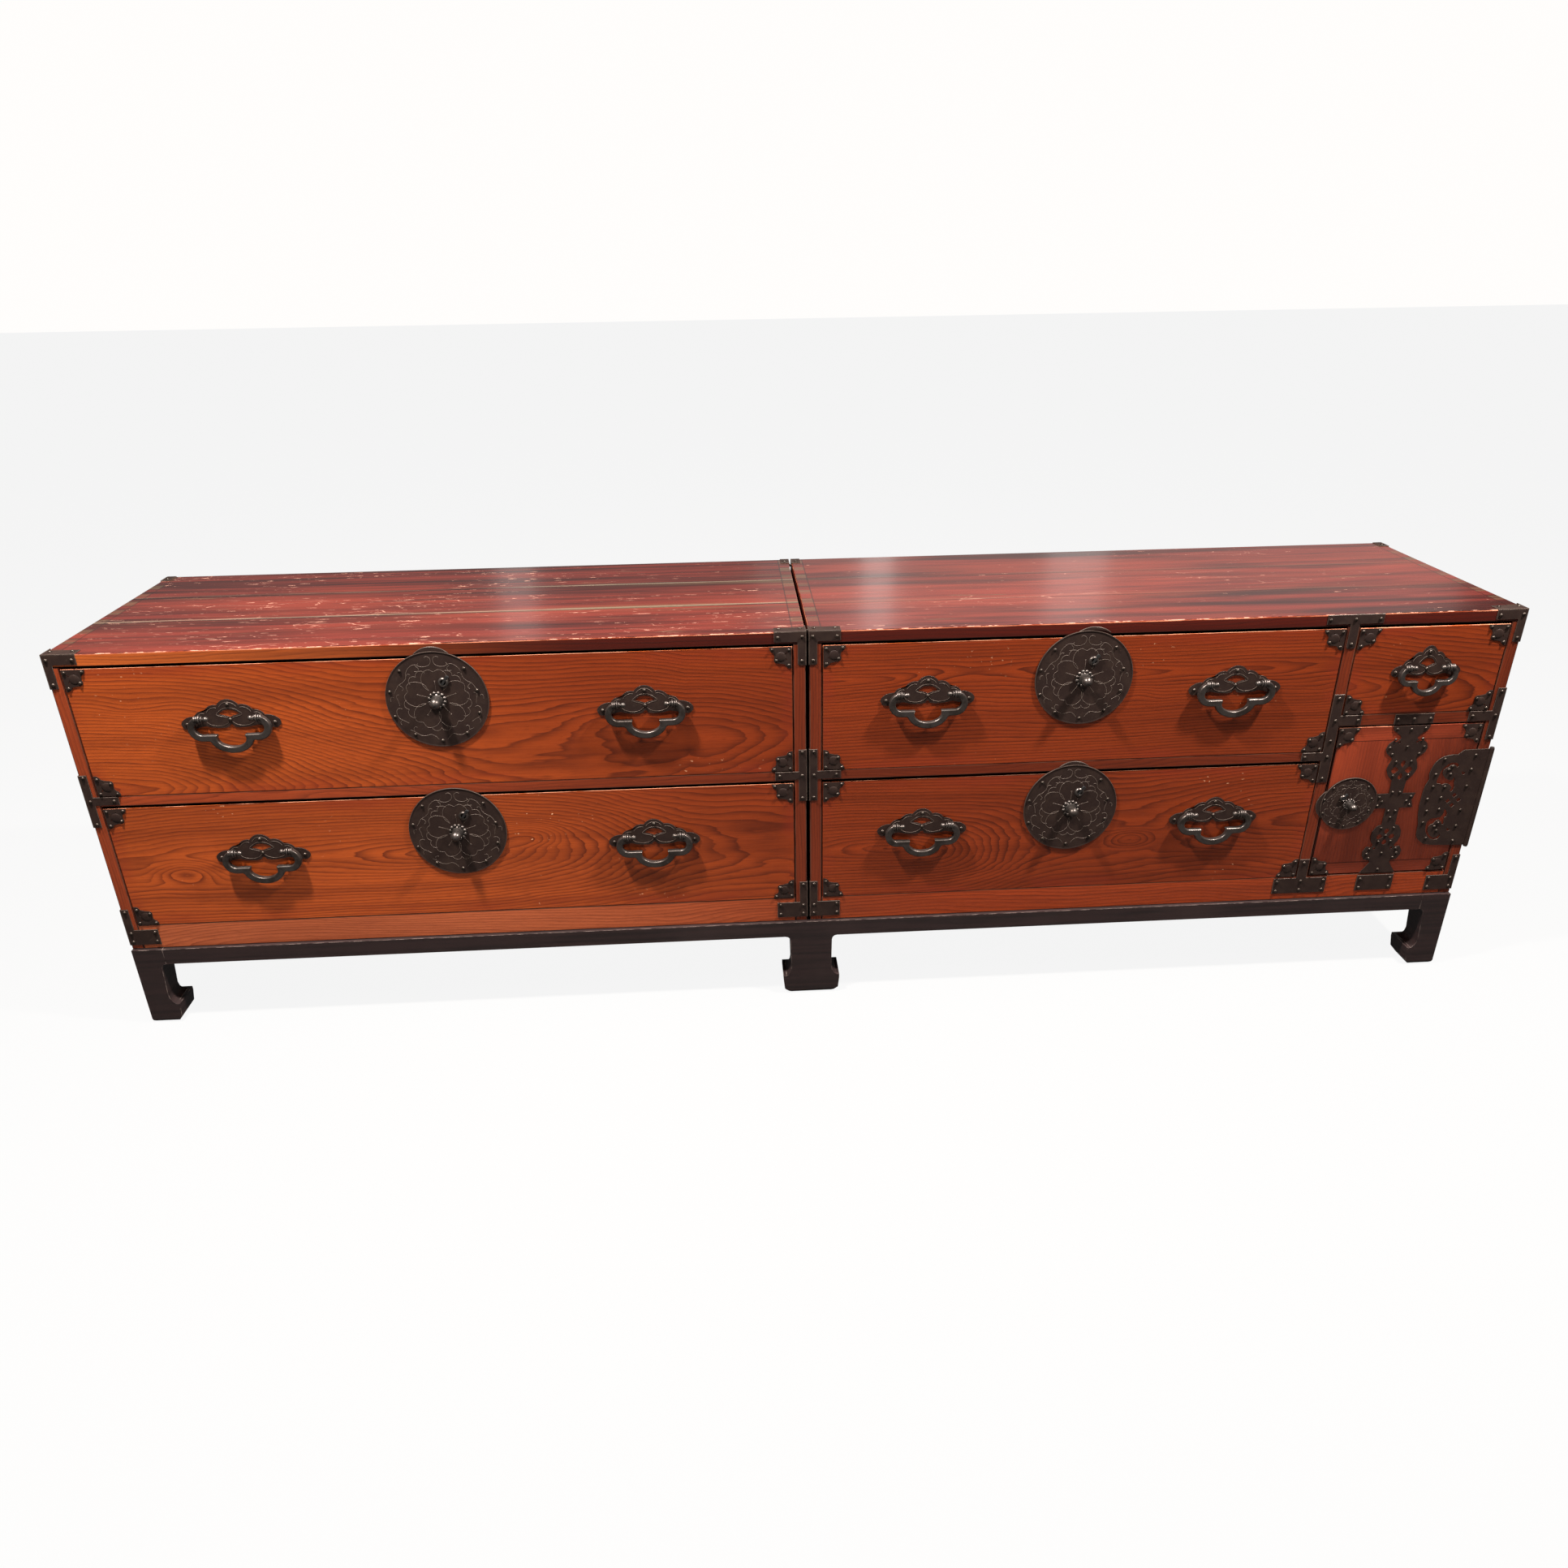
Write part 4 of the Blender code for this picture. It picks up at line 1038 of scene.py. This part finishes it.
handles = {
    "wide": {"names": [f"{drawer}_{side}" for drawer in wideDrawers for side in ("left", "right")],
             "span": 1.0, "rise": 1.0, "crest": 1.10},
    "small": {"names": ["small"], "span": 0.76, "rise": 0.84, "crest": 1.60},
}
for look in handles.values():
    plateModel = handlePlateModel(look["span"], look["rise"], look["crest"])
    barModel = bailModel(look["span"], look["rise"])
    for name in look["names"]:
        across = boxMiddle(name + "_bail").x
        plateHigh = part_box(name + "_handle_plate")[1].z
        up = plateHigh - handleLook["top"] * handleLook["half"] * look["rise"] * mm
        place = shift(across, frontY, up)
        plate = copied(plateModel, place, name + "_handle_back")
        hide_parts(name + "_handle_plate")
        body = "small_drawer" if name == "small" else name.rsplit("_", 1)[0] + "_drawer"
        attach(plate, body)
        bail = copied(barModel, place, name + "_handle_bail")
        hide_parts(name + "_bail")
        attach(bail, name + "_handle")
    drop(plateModel, barModel)
print("handles done")


# boss: place and radius; slits: start, end and width; all right and down from the board's corner
cornerLook = {"face": 1.2, "boss": (17.2, 15.6, 8.4), "inset": 0.8,
              "nails": [(4.4, 4.2), (31.0, 3.4), (24.4, 21.4), (5.0, 29.8)],
              "slits": [((6.8, 8.2), (13.0, 13.0), 1.3), ((14.4, 12.2), (19.6, 5.8), 1.2),
                        ((7.4, 21.0), (11.6, 15.4), 1.2)]}
cornerOutline = [(0, 0), (18, 0), (35.5, 0), (35.6, 1.6), (33.5, 6.8), (29.6, 8.8), (27.8, 12),
                 (27.4, 17), (28.6, 20.6), (27.4, 24.6), (23.6, 26.4), (19.2, 26.6), (14.6, 27.6),
                 (10.4, 28.8), (8.8, 32.4), (5.4, 34.8), (1.0, 35.6), (0, 35.4), (0, 18)]
bossProfile = [(0, -2.2), (0.35, -2.1), (0.7, -1.9), (0.93, -1.5), (1, -1.0), (1, 0)]


def cornerModel():
    face = -cornerLook["face"] * mm
    plate = tracedPlate("corner", scaled([(u, -v) for u, v in cornerOutline]), face, 0.2 * mm)
    slits = []
    for start, end, width in cornerLook["slits"]:
        along = Vector((end[0] - start[0], end[1] - start[1])).normalized() * width / 2
        shape = [(u - sign * along.y, -(v + sign * along.x))
                 for sign, (u, v) in ((1, start), (1, end), (-1, end), (-1, start))]
        slits.append(tracedPlate("slit", scaled(shape), -4 * mm, 4 * mm))
    cutThrough(plate, slits)
    rubbedRim(plate, face, 0.4 * mm)
    bossX, bossZ, bossRadius = cornerLook["boss"]
    boss = turned("boss", scaled([(bossRadius * share, place) for share, place in bossProfile]), 20)
    boss.data.transform(shift(bossX * mm, 0, -bossZ * mm))
    takeMaterials(boss, iron)
    smoothed(boss, 60)
    studs = nails([(u * mm, -v * mm) for u, v in cornerLook["nails"]], face, 0.95)
    return joined("cornerPlate", [plate, boss] + studs)


def cornersFor(name, box, body):
    low, high = box
    inset = cornerLook["inset"] * mm
    made = []
    for across, turnX in ((low.x + inset, 1), (high.x - inset, -1)):
        for up, turnZ in ((high.z - inset, 1), (low.z + inset, -1)):
            change = shift(across, frontY, up) @ grown(turnX, 1, turnZ)
            made.append(copied(cornerPlate, change, "corner"))
    piece = joined(name, made)
    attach(piece, body)


cornerPlate = cornerModel()
for name in drawers:
    cornersFor(name + "_corner_plates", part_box(name + "_drawer_front"), name + "_drawer")
cornersFor("door_corner_plates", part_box("door_panel"), "door")
drop(cornerPlate)
print("corner plates done")


plateThick, keeperThick, plateSunk = 1.2 * mm, 1.7 * mm, 0.3 * mm
stem, arm = 12.5, 52


def onCase(points, side, flip):  # millimetres inward from the case's left side, or its right one, and down
    width = caseWidth / mm
    return [(caseX[side] + (width - across if flip else across) * mm, topZ - down * mm)
            for across, down in points]


def frontPlate(name, shape, thick):
    plate = tracedPlate(name, shape, frontY - thick, frontY + plateSunk)
    return rubbedRim(plate, frontY - thick, 0.35 * mm)


def flatIron(outline, side, flip=False):
    return frontPlate("plate", onCase(outline, side, flip), plateThick)


def ironNails(places, side, flip=False):
    return nails(onCase(places, side, flip), frontY - plateThick)


def block(low, high):  # a plate on a side or the top: a cube set to its corners, edges eased
    piece = added(bpy.ops.mesh.primitive_cube_add, size=1, location=[(a + b) / 2 for a, b in zip(low, high)],
                  scale=[b - a for a, b in zip(low, high)])
    takeMaterials(piece, iron, rubbedIron)
    pick(piece, "edges", lambda edge: True)
    bpy.ops.mesh.bevel(offset=0.3 * mm, segments=1, affect="EDGES", material=1)
    closeEdit()
    return piece


def sideNail(x, y, z, outward):
    return copied(nail, shift(x, y, z) @ Matrix.Rotation(radians(90 * outward), 4, "Z"), "nail")


def topNail(x, y, z):
    return copied(nail, shift(x, y, z) @ Matrix.Rotation(radians(-90), 4, "X"), "nail")


def flapOn(side, flip, highDown, lowDown, fromBack=False):  # the iron's part on the case's side
    x = caseX[side] + (caseWidth if flip else 0)
    outward = 1 if flip else -1
    face = x + outward * plateThick
    near, far = (backY - flapDepth, backY) if fromBack else (frontY - plateThick, frontY + flapDepth)
    made = [block((min(x, face), near, topZ - lowDown * mm), (max(x, face), far, topZ - highDown * mm))]
    y = near + 8 * mm if fromBack else far - 7 * mm
    for down in (highDown + 7, lowDown - 7):
        made.append(sideNail(face, y, topZ - down * mm, outward))
    return made


def topFlap(x, inward, wide, near, far, spots):  # the iron's part on the case's top
    end = x + inward * wide * mm
    made = [block((min(x, end), near, topZ - 0.2 * mm), (max(x, end), far, topZ + plateThick))]
    return made + [topNail(x + inward * across * mm, y, topZ + plateThick) for across, y in spots]


def lyingT(wide, reach, high, armHigh, armLow, low):  # its arm points inward
    return [(0, high), (wide, high), (wide, armHigh), (reach, armHigh), (reach, armLow), (wide, armLow),
            (wide, low), (0, low)]


flapDepth, backFlap, frontFlap = 30 * mm, 16, 50  # depth on the side; widths on the top
topL = [(0, 0), (50, 0), (50, 15.5), (49, 16.5), (stem + 1.5, 16.5), (stem, 18), (stem, 54),
        (stem - 1.5, 55.5), (0, 55.5)]
baseL = [(0, 455), (stem, 455), (stem, 496), (arm, 496), (arm, 526), (0, 526)]
topLNails = [(5.5, 8), (44, 8.5), (6, 48)]
middleNails = [(6.5, 207), (7, 249.5), (44.5, 249.5), (6.5, 291)]
baseNails = [(6.5, 460), (6.5, 502), (46.5, 501), (6.5, 519), (46.5, 519)]
doorSideNails = [(6.5, 142), (6.5, 185), (46, 185), (6.5, 224)]
# outline, nails, and from where to where down its part on the side reaches
topRow, baseRow = (topL, topLNails, -1.2, 55.5), (baseL, baseNails, 455, 526)
middleRow = (lyingT(stem, arm, 203, 242.5, 257, 297), middleNails, 203, 297)
doorSideRow = (lyingT(stem + 1, 53, 136, 176.8, 194.5, 230), doorSideNails, 136, 230)


def keeperOutline(radius, offset, clear, turn):  # a disc's part that shows beyond the lock plate
    reach = (offset ** 2 + clear ** 2 - radius ** 2) / (2 * offset)
    half = (clear ** 2 - reach ** 2) ** 0.5
    first = atan2(reach - offset, half)
    points = arcPoints(0, offset, radius, first * 180 / pi, 180 - first * 180 / pi, 18)
    edge = atan2(reach, half) * 180 / pi
    points += arcPoints(0, 0, clear, 180 - edge, edge, 14)[1:-1]
    return spun(points, turn)


def keeper(name, radius, offset, clear, turn, aside):
    middle = boxMiddle(name + "_lock_plate")
    shape = [(middle.x + (aside + u) * mm, middle.z + v * mm)
             for u, v in keeperOutline(radius, offset, clear, turn)]
    return frontPlate("keeper", shape, keeperThick)


# radius, middle above the plate's middle, plate kept clear, turn, shift to the right
keepers = {"left": {"left_upper": (38, 50, 81.1, 0, 0)},
           "right": {"right_upper": (43, 43.5, 81.1, 0, 9), "right_lower": (37.5, 49.5, 81.1, 0, 0)}}


def caseIrons(side):
    made = []
    for flip in (False, True):
        middle = doorSideRow if side == "right" and flip else middleRow
        for outline, places, highDown, lowDown in (topRow, middle, baseRow):
            made.append(flatIron(outline, side, flip))
            made += ironNails(places, side, flip)
            made += flapOn(side, flip, highDown, lowDown)
        x = caseX[side] + (caseWidth if flip else 0)
        inward = -1 if flip else 1
        nailY = frontY + 12 * mm
        made += topFlap(x, inward, frontFlap, frontY - plateThick, frontY + 20 * mm,
                        ((8, nailY), (frontFlap - 8, nailY)))
        made += topFlap(x, inward, backFlap, backY - flapDepth, backY, ((8, backY - 20 * mm),))
        for row in (topRow, baseRow):
            made += flapOn(side, flip, *row[2:], True)
    for name, look in keepers[side].items():
        made.append(keeper(name, *look))
    return made


leftIrons = joined("left_case_irons", caseIrons("left"))
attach(leftIrons, "chest")

partitionIrons = [
    [(838, 0), (932, 0), (932, 16), (894, 16), (893, 17), (893, 56), (891, 58), (880, 58), (878, 56),
     (878, 17), (877, 16), (838, 16)],
    [(875.8, 138), (893.6, 138), (893.6, 176.5), (931, 176.5), (931, 194.5), (893.6, 194.5),
     (893.6, 300), (875.8, 300), (875.8, 258.5), (840, 258.5), (840, 243), (875.8, 243)],
    [(835, 490), (875.8, 490), (875.8, 452), (893.6, 452), (893.6, 490), (932, 490), (932, 521), (835, 521)],
    [(989, 177.5), (1057, 177.5), (1057, 196), (989, 196)],
    [(988.5, 490), (1056, 490), (1056, 521), (988.5, 521)],
]
partitionNails = [(843, 8), (885, 8), (926, 8), (885.5, 50), (885, 145), (886, 185), (925, 185.5),
                  (885, 222), (885, 251), (846, 251), (884, 292), (884.5, 459), (884.5, 496),
                  (884.5, 514), (841, 496), (841, 515), (926, 496), (926, 515), (995, 186.5),
                  (1023, 186.5), (1051, 186.5), (995, 497), (1050, 497), (995, 515), (1050, 515)]
rightParts = caseIrons("right")
for outline in partitionIrons:
    rightParts.append(flatIron(outline, "right"))
rightParts += ironNails(partitionNails, "right")
rightParts.append(keeper("door", 30, 28, 50.6, 90, 0))
rightIrons = joined("right_case_irons", rightParts)
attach(rightIrons, "chest")
print("case irons done")


doorLow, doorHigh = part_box("door_panel")
clampWidths = (26 * mm, 23 * mm)  # the panel's clamped ends, upper and lower
clampSeams = (doorHigh.z - clampWidths[0], doorLow.z + clampWidths[1])
# painted shade: the panel's top face and left edge are darkened as the shade in their gaps; the clamp seams
# are dark joints
doorWoods = [woodMaterial(name, "door", grain, seed, heart, (doorLow, doorHigh), shadedLeftEdge=True,
                          seams=clampSeams)
             for name, grain, seed, heart in (("doorPanelWood", "Z", 61, (1.02, 0.08)),
                                              ("doorEndWood", "X", 67, (0.10, 0.08)))]
# the upper arris pale, partly wear and partly painted highlight; the other arrises painted shade
doorEdge = edgeWearAndShadeMaterial("doorEdge", "door", "Z", 61, (1.02, 0.08), 0.5, 0.8, doorHigh.z)
doorPanel = eased("door_panel", "door_panel_board", 0.0012, (*doorWoods, doorEdge))
for up in clampSeams:
    pick(doorPanel, "vertices", lambda vertex: True)
    bpy.ops.mesh.bisect(plane_co=(0, 0, up), plane_no=(0, 0, 1))
    closeEdit()
for polygon in doorPanel.data.polygons:
    if polygon.center.z > clampSeams[0] or polygon.center.z < clampSeams[1]:
        if polygon.material_index == 0:
            polygon.material_index = 1
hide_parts("door_panel")
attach(doorPanel, "door")

strapShares = [
    (1.00, 0.000), (0.92, 0.028), (0.52, 0.060), (0.42, 0.078), (0.62, 0.105), (0.80, 0.094),
    (1.02, 0.115), (1.12, 0.146), (1.04, 0.174), (0.83, 0.194), (0.64, 0.215), (0.77, 0.250),
    (0.83, 0.281), (0.74, 0.312), (0.61, 0.333), (0.40, 0.358), (0.37, 0.446), (1.09, 0.447),
    (0.96, 0.495), (1.09, 0.544), (0.37, 0.545), (0.37, 0.660), (0.61, 0.670), (0.80, 0.705),
    (0.83, 0.743), (0.74, 0.778), (0.58, 0.802), (0.65, 0.819), (0.92, 0.812), (1.09, 0.844),
    (1.07, 0.875), (0.92, 0.903), (0.58, 0.912), (0.55, 0.924), (0.74, 0.958), (1.00, 1.000),
]
strapNails = [(24.5, 5), (23.7, 24.5), (30, 39.5), (23.6, 52), (13.5, 66.6), (13.4, 93), (6.4, 125),
              (28.2, 134), (22, 142.6), (28.7, 150.5), (6.5, 161.5), (11.2, 195.5), (11.2, 222),
              (24, 237), (27.2, 246.5), (22.2, 255.5)]
strapSpine = [6.5, 38.5, 174.5, 210.5, 245.5, 279]
strapLow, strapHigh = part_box("door_strap")
strapX = (strapLow.x + strapHigh.x) / 2
strapHalf = 32.5
strapHeight = (strapHigh.z - strapLow.z) / mm


def onStrap(points):  # millimetres to the right of the middle and down from the top
    return [(strapX + across * mm, strapHigh.z - down * mm) for across, down in points]


def petal(down, turn, near, far, half):  # one of four openings round a cross
    shape = [(0, near), (half * 0.75, near + (far - near) * 0.34), (half, near + (far - near) * 0.58),
             (half * 0.72, near + (far - near) * 0.84), (0, far)]
    shape += mirrored(reversed(shape[1:-1]))
    return onStrap([(u, down - v) for u, v in spun(shape, turn)])


doorFace = frontY - 1.5 * mm  # of the irons on the door


def doorIron(name, outline, windows):
    plate = tracedPlate(name, outline, doorFace, frontY - 0.2 * mm)
    cutThrough(plate, [tracedPlate("window", shape, doorFace - 3 * mm, frontY + 3 * mm)
                       for shape in windows])
    return rubbedRim(plate, doorFace, 0.4 * mm)


windows = [petal(down, turn, 4.6, far, halves[turn // 90 % 2])
           for down, far, halves in ((82.8, 18.6, (4.4, 6.8)), (212.8, 16.6, (4.8, 5.4)))
           for turn in (0, 90, 180, 270)]
windows += [arcPoints(*place, 2.3 * mm, 0, 330, 11)
            for place in onStrap([(15.8, 30), (-15.8, 30), (15.5, 236), (-15.5, 236)])]
strapShares += mirrored(reversed(strapShares))
strap = doorIron("strap", onStrap([(u * strapHalf, v * strapHeight) for u, v in strapShares]), windows)
strapStuds = onStrap(strapNails + mirrored(strapNails) + [(0, down) for down in strapSpine])
strapPiece = joined("door_strap_plate", [strap] + nails(strapStuds, doorFace, 0.85))
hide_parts("door_strap")
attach(strapPiece, "door")

leafShares = [
    (0.0, 1.0), (0.47, 0.99), (0.56, 0.90), (0.64, 0.905), (0.72, 0.89), (0.79, 0.87), (0.85, 0.83),
    (0.90, 0.77), (0.93, 0.70), (0.955, 0.61), (0.965, 0.53), (0.94, 0.42), (0.985, 0.29), (1.0, 0.11),
    (1.0, -0.10), (0.98, -0.31), (0.935, -0.52), (0.93, -0.63), (0.925, -0.73), (0.90, -0.80),
    (0.86, -0.86), (0.76, -0.94), (0.64, -0.97), (0.52, -0.98), (0.0, -1.0),
]
leafLow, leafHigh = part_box("door_hinge_leaf")
barrelX = leafHigh.x - 4 * mm  # the hinge's axis
knuckleReach = 4.2 * mm
leafReach = (barrelX - leafLow.x) / mm
leafHalf = (leafHigh.z - leafLow.z) / mm / 2
leafMiddle = (leafHigh.z + leafLow.z) / 2
# millimetres from the hinge's axis, left and up
leafNails = [
    (79, 77), (62.1, 63), (67.6, 57), (62.4, 48), (88.8, 48.5), (87.8, 25), (67, 24), (26, 83),
    (27.5, 56), (28, 24), (92.6, 1), (68.6, 3), (88.4, -22.5), (66.4, -20), (27.5, -22.5),
    (89.7, -45.5), (61.3, -47), (67.4, -54), (27.5, -54), (77.3, -77), (61.5, -62), (26, -84),
]
upperCurl = [
    (51.1, 62.9), (53.0, 67.2), (57.6, 69.5), (64.0, 69.7), (70.6, 67.1), (75.8, 62.2), (79.4, 57.2),
    (80.9, 50.4), (83.0, 42.7), (84.2, 34.1), (82.5, 30.5), (76.8, 30.3), (73.0, 27.9), (68.6, 30.0),
    (62.9, 29.7), (58.2, 26.9), (53.6, 21.5), (56.3, 15.8), (53.3, 13.6), (50.1, 17.0), (49.2, 23.0),
    (51.7, 30.1), (52.1, 36.2), (54.1, 42.9), (55.3, 38.1), (58.9, 36.1), (63.9, 37.0), (69.6, 40.4),
    (73.9, 44.9), (77.1, 51.1), (76.7, 56.2), (72.7, 59.5), (69.2, 61.4), (66.0, 64.7), (61.5, 65.9),
    (56.4, 63.6), (53.6, 60.1),
]
lowerCurl = [
    (55.4, -20.7), (52.2, -23.5), (49.2, -29.0), (49.6, -35.2), (53.0, -36.8), (52.3, -43.1), (50.5, -50.4),
    (54.6, -50.2), (56.8, -44.7), (61.8, -41.3), (66.5, -42.2), (70.6, -48.6), (75.2, -50.2), (77.4, -54.6),
    (77.0, -61.9), (72.8, -70.2), (65.5, -76.9), (58.8, -77.2), (54.1, -72.9), (53.0, -68.4), (51.9, -74.8),
    (54.2, -79.2), (61.1, -81.1), (69.2, -78.6), (76.8, -70.9), (81.5, -61.7), (82.8, -52.6), (82.5, -43.6),
    (76.4, -38.5), (66.9, -37.1), (60.7, -35.6), (57.4, -32.2), (56.3, -26.9), (56.8, -21.5),
]
leafHeart = [(-3.6, 0.6), (0.0, -3.0), (3.8, -0.4), (2.2, 3.4), (0.6, 0.8), (-1.6, 4.6)]
leafHearts = [(39.6, 48.5), (40.2, -62.0)]
leafDiamond = [(4.7, 0), (0, 4.4), (-4.7, 0), (0, -4.4)]
leafLattice = [(45.2, 6.6), (35.8, -3.0), (54.6, -4.2), (45.2, -13.0)]


def onLeaf(points):
    return [(barrelX - across * mm, leafMiddle + up * mm) for across, up in points]


openings = [upperCurl, lowerCurl]
openings += [[(across + u, up + v) for u, v in leafDiamond] for across, up in leafLattice]
openings += [[(across - u, up + v) for u, v in leafHeart] for across, up in leafHearts]
leaf = doorIron("leaf", onLeaf([(u * leafReach, v * leafHalf) for u, v in leafShares]),
                [onLeaf(shape) for shape in openings])
knuckles = fromFrame("door_hinge_leaf", "knuckles")  # cut from the frame's own hinge
bpy.ops.mesh.bisect(plane_co=(barrelX - knuckleReach, 0, 0), plane_no=(-1, 0, 0), use_fill=True,
                    clear_outer=True)
closeEdit()
plainCoat(knuckles, iron, rubbedIron)
smoothed(knuckles, 40)
leafPiece = joined("door_hinge_plate", [leaf, knuckles] + nails(onLeaf(leafNails), doorFace, 0.95))
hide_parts("door_hinge_leaf")
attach(leafPiece, "door")
takeMaterials(frame["nodes"]["case_hinge_leaf"], iron)
sideLeaf = {"face": 1.3, "nails": [(7, up) for up in (9, 51, 94, 137, 179)] + [(26, 24), (26, 94), (26, 164)]}
leafLow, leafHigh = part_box("case_hinge_leaf")
studs = [sideNail(leafLow.x + sideLeaf["face"] * mm, leafHigh.y - back * mm, leafLow.z + up * mm, 1)
         for back, up in sideLeaf["nails"]]
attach(joined("case_hinge_nails", studs), "chest")
takeMaterials(frame["nodes"]["hinge_pin"], steel)
drop(nail)
print("door done")


studio = {"floor": (0.24, 0.23, 0.22, 1), "paper": 0.90, "dim": 0.07, "room": 0.12, "shine": 0.05}


def floorMaterial():  # white to the camera but for its shadow, dim in reflections
    floor = Finish("paleFloor", Roughness=0.9)
    floor.wear(Base_Color=studio["floor"])
    tree = floor.tree
    rays = tree.nodes.new("ShaderNodeLightPath")
    surface = floor.shader.outputs[0]
    for ray, share, glow in (("Is Camera Ray", studio["paper"], 1.0), ("Is Glossy Ray", 1.0, studio["dim"])):
        light = tree.nodes.new("ShaderNodeEmission")
        light.inputs["Color"].default_value = (1, 1, 1, 1)
        light.inputs["Strength"].default_value = glow
        blend = tree.nodes.new("ShaderNodeMixShader")
        feed(tree, blend.inputs[0], Signal(tree, rays.outputs[ray]) * share)
        tree.links.new(surface, blend.inputs[1])
        tree.links.new(light.outputs[0], blend.inputs[2])
        surface = blend.outputs[0]
    tree.links.new(surface, tree.nodes["Material Output"].inputs["Surface"])
    return floor.material


floor = added(bpy.ops.mesh.primitive_plane_add, size=40, location=(0, 0, 0))
floor.name = "floor"
takeMaterials(floor, floorMaterial())

world = bpy.context.scene.world or bpy.data.worlds.new("room")
bpy.context.scene.world = world
world.use_nodes = True
sky = world.node_tree
background = sky.nodes["Background"]
rays = sky.nodes.new("ShaderNodeLightPath")
seen = Signal(sky, rays.outputs["Is Camera Ray"])
shiny = Signal(sky, rays.outputs["Is Glossy Ray"])
feed(sky, background.inputs["Strength"],
     seen * (1 - studio["room"]) + shiny * (studio["shine"] - studio["room"]) + studio["room"])
background.inputs["Color"].default_value = (1, 0.985, 0.97, 1)

# place, aim, width and height in metres, watts
lamps = {
    "keyLeft": ((-1.0, -0.7, 2.6), (-0.8, -0.2, 0.4), (0.15, 0.15), 176),
    "keyRight": ((1.55, -0.72, 2.6), (0.85, -0.2, 0.4), (0.15, 0.15), 176),
    "overhead": ((0.0, -1.3, 2.4), (0.0, -0.2, 0.4), (3.6, 0.45), 16),
    "frontSoft": ((-1.4, -3.2, 1.6), (-0.2, -0.2, 0.4), (1.6, 1.6), 6),
    "rearCardLeft": ((-1.5, 2.6, 1.9), (-1.5, 0.0, 1.9), (3.0, 2.6), 2.6),
    "rearCardRight": ((1.5, 2.6, 1.9), (1.5, 0.0, 1.9), (3.0, 2.6), 7.0),
    "rearGlowLeft": ((-0.93, 2.4, 1.7), (-0.93, 0.0, 1.7), (0.14, 1.4), 0.32),
    "rearGlowMiddle": ((0.47, 2.4, 1.7), (0.47, 0.0, 1.7), (0.12, 1.3), 0.46),
    "rearGlowRight": ((1.26, 2.4, 1.7), (1.26, 0.0, 1.7), (0.24, 1.3), 0.46),
}
for name, (place, aim, size, watts) in lamps.items():
    bpy.ops.object.light_add(type="AREA", location=place)
    lamp = bpy.context.object
    lamp.name = name
    lamp.data.shape = "RECTANGLE"
    lamp.data.size, lamp.data.size_y = size
    lamp.data.energy = watts
    lamp.data.color = (1.0, 0.97, 0.93)
    lamp.visible_camera = False
    lamp.rotation_euler = (Vector(aim) - Vector(place)).to_track_quat("-Z", "Y").to_euler()

cameraLook = {"place": (-0.13324, -1.91333, 1.23909), "turn": (64.384, 0.7825, -3.3513), "lens": 25.94,
              "sensor": 36, "nearest": 0.01}
bpy.ops.object.camera_add(location=cameraLook["place"],
                          rotation=[radians(angle) for angle in cameraLook["turn"]])
camera = bpy.context.object
camera.data.sensor_width = cameraLook["sensor"]
camera.data.lens = cameraLook["lens"]
camera.data.clip_start = cameraLook["nearest"]
bpy.context.scene.camera = camera
bpy.context.scene.view_settings.view_transform = "Standard"
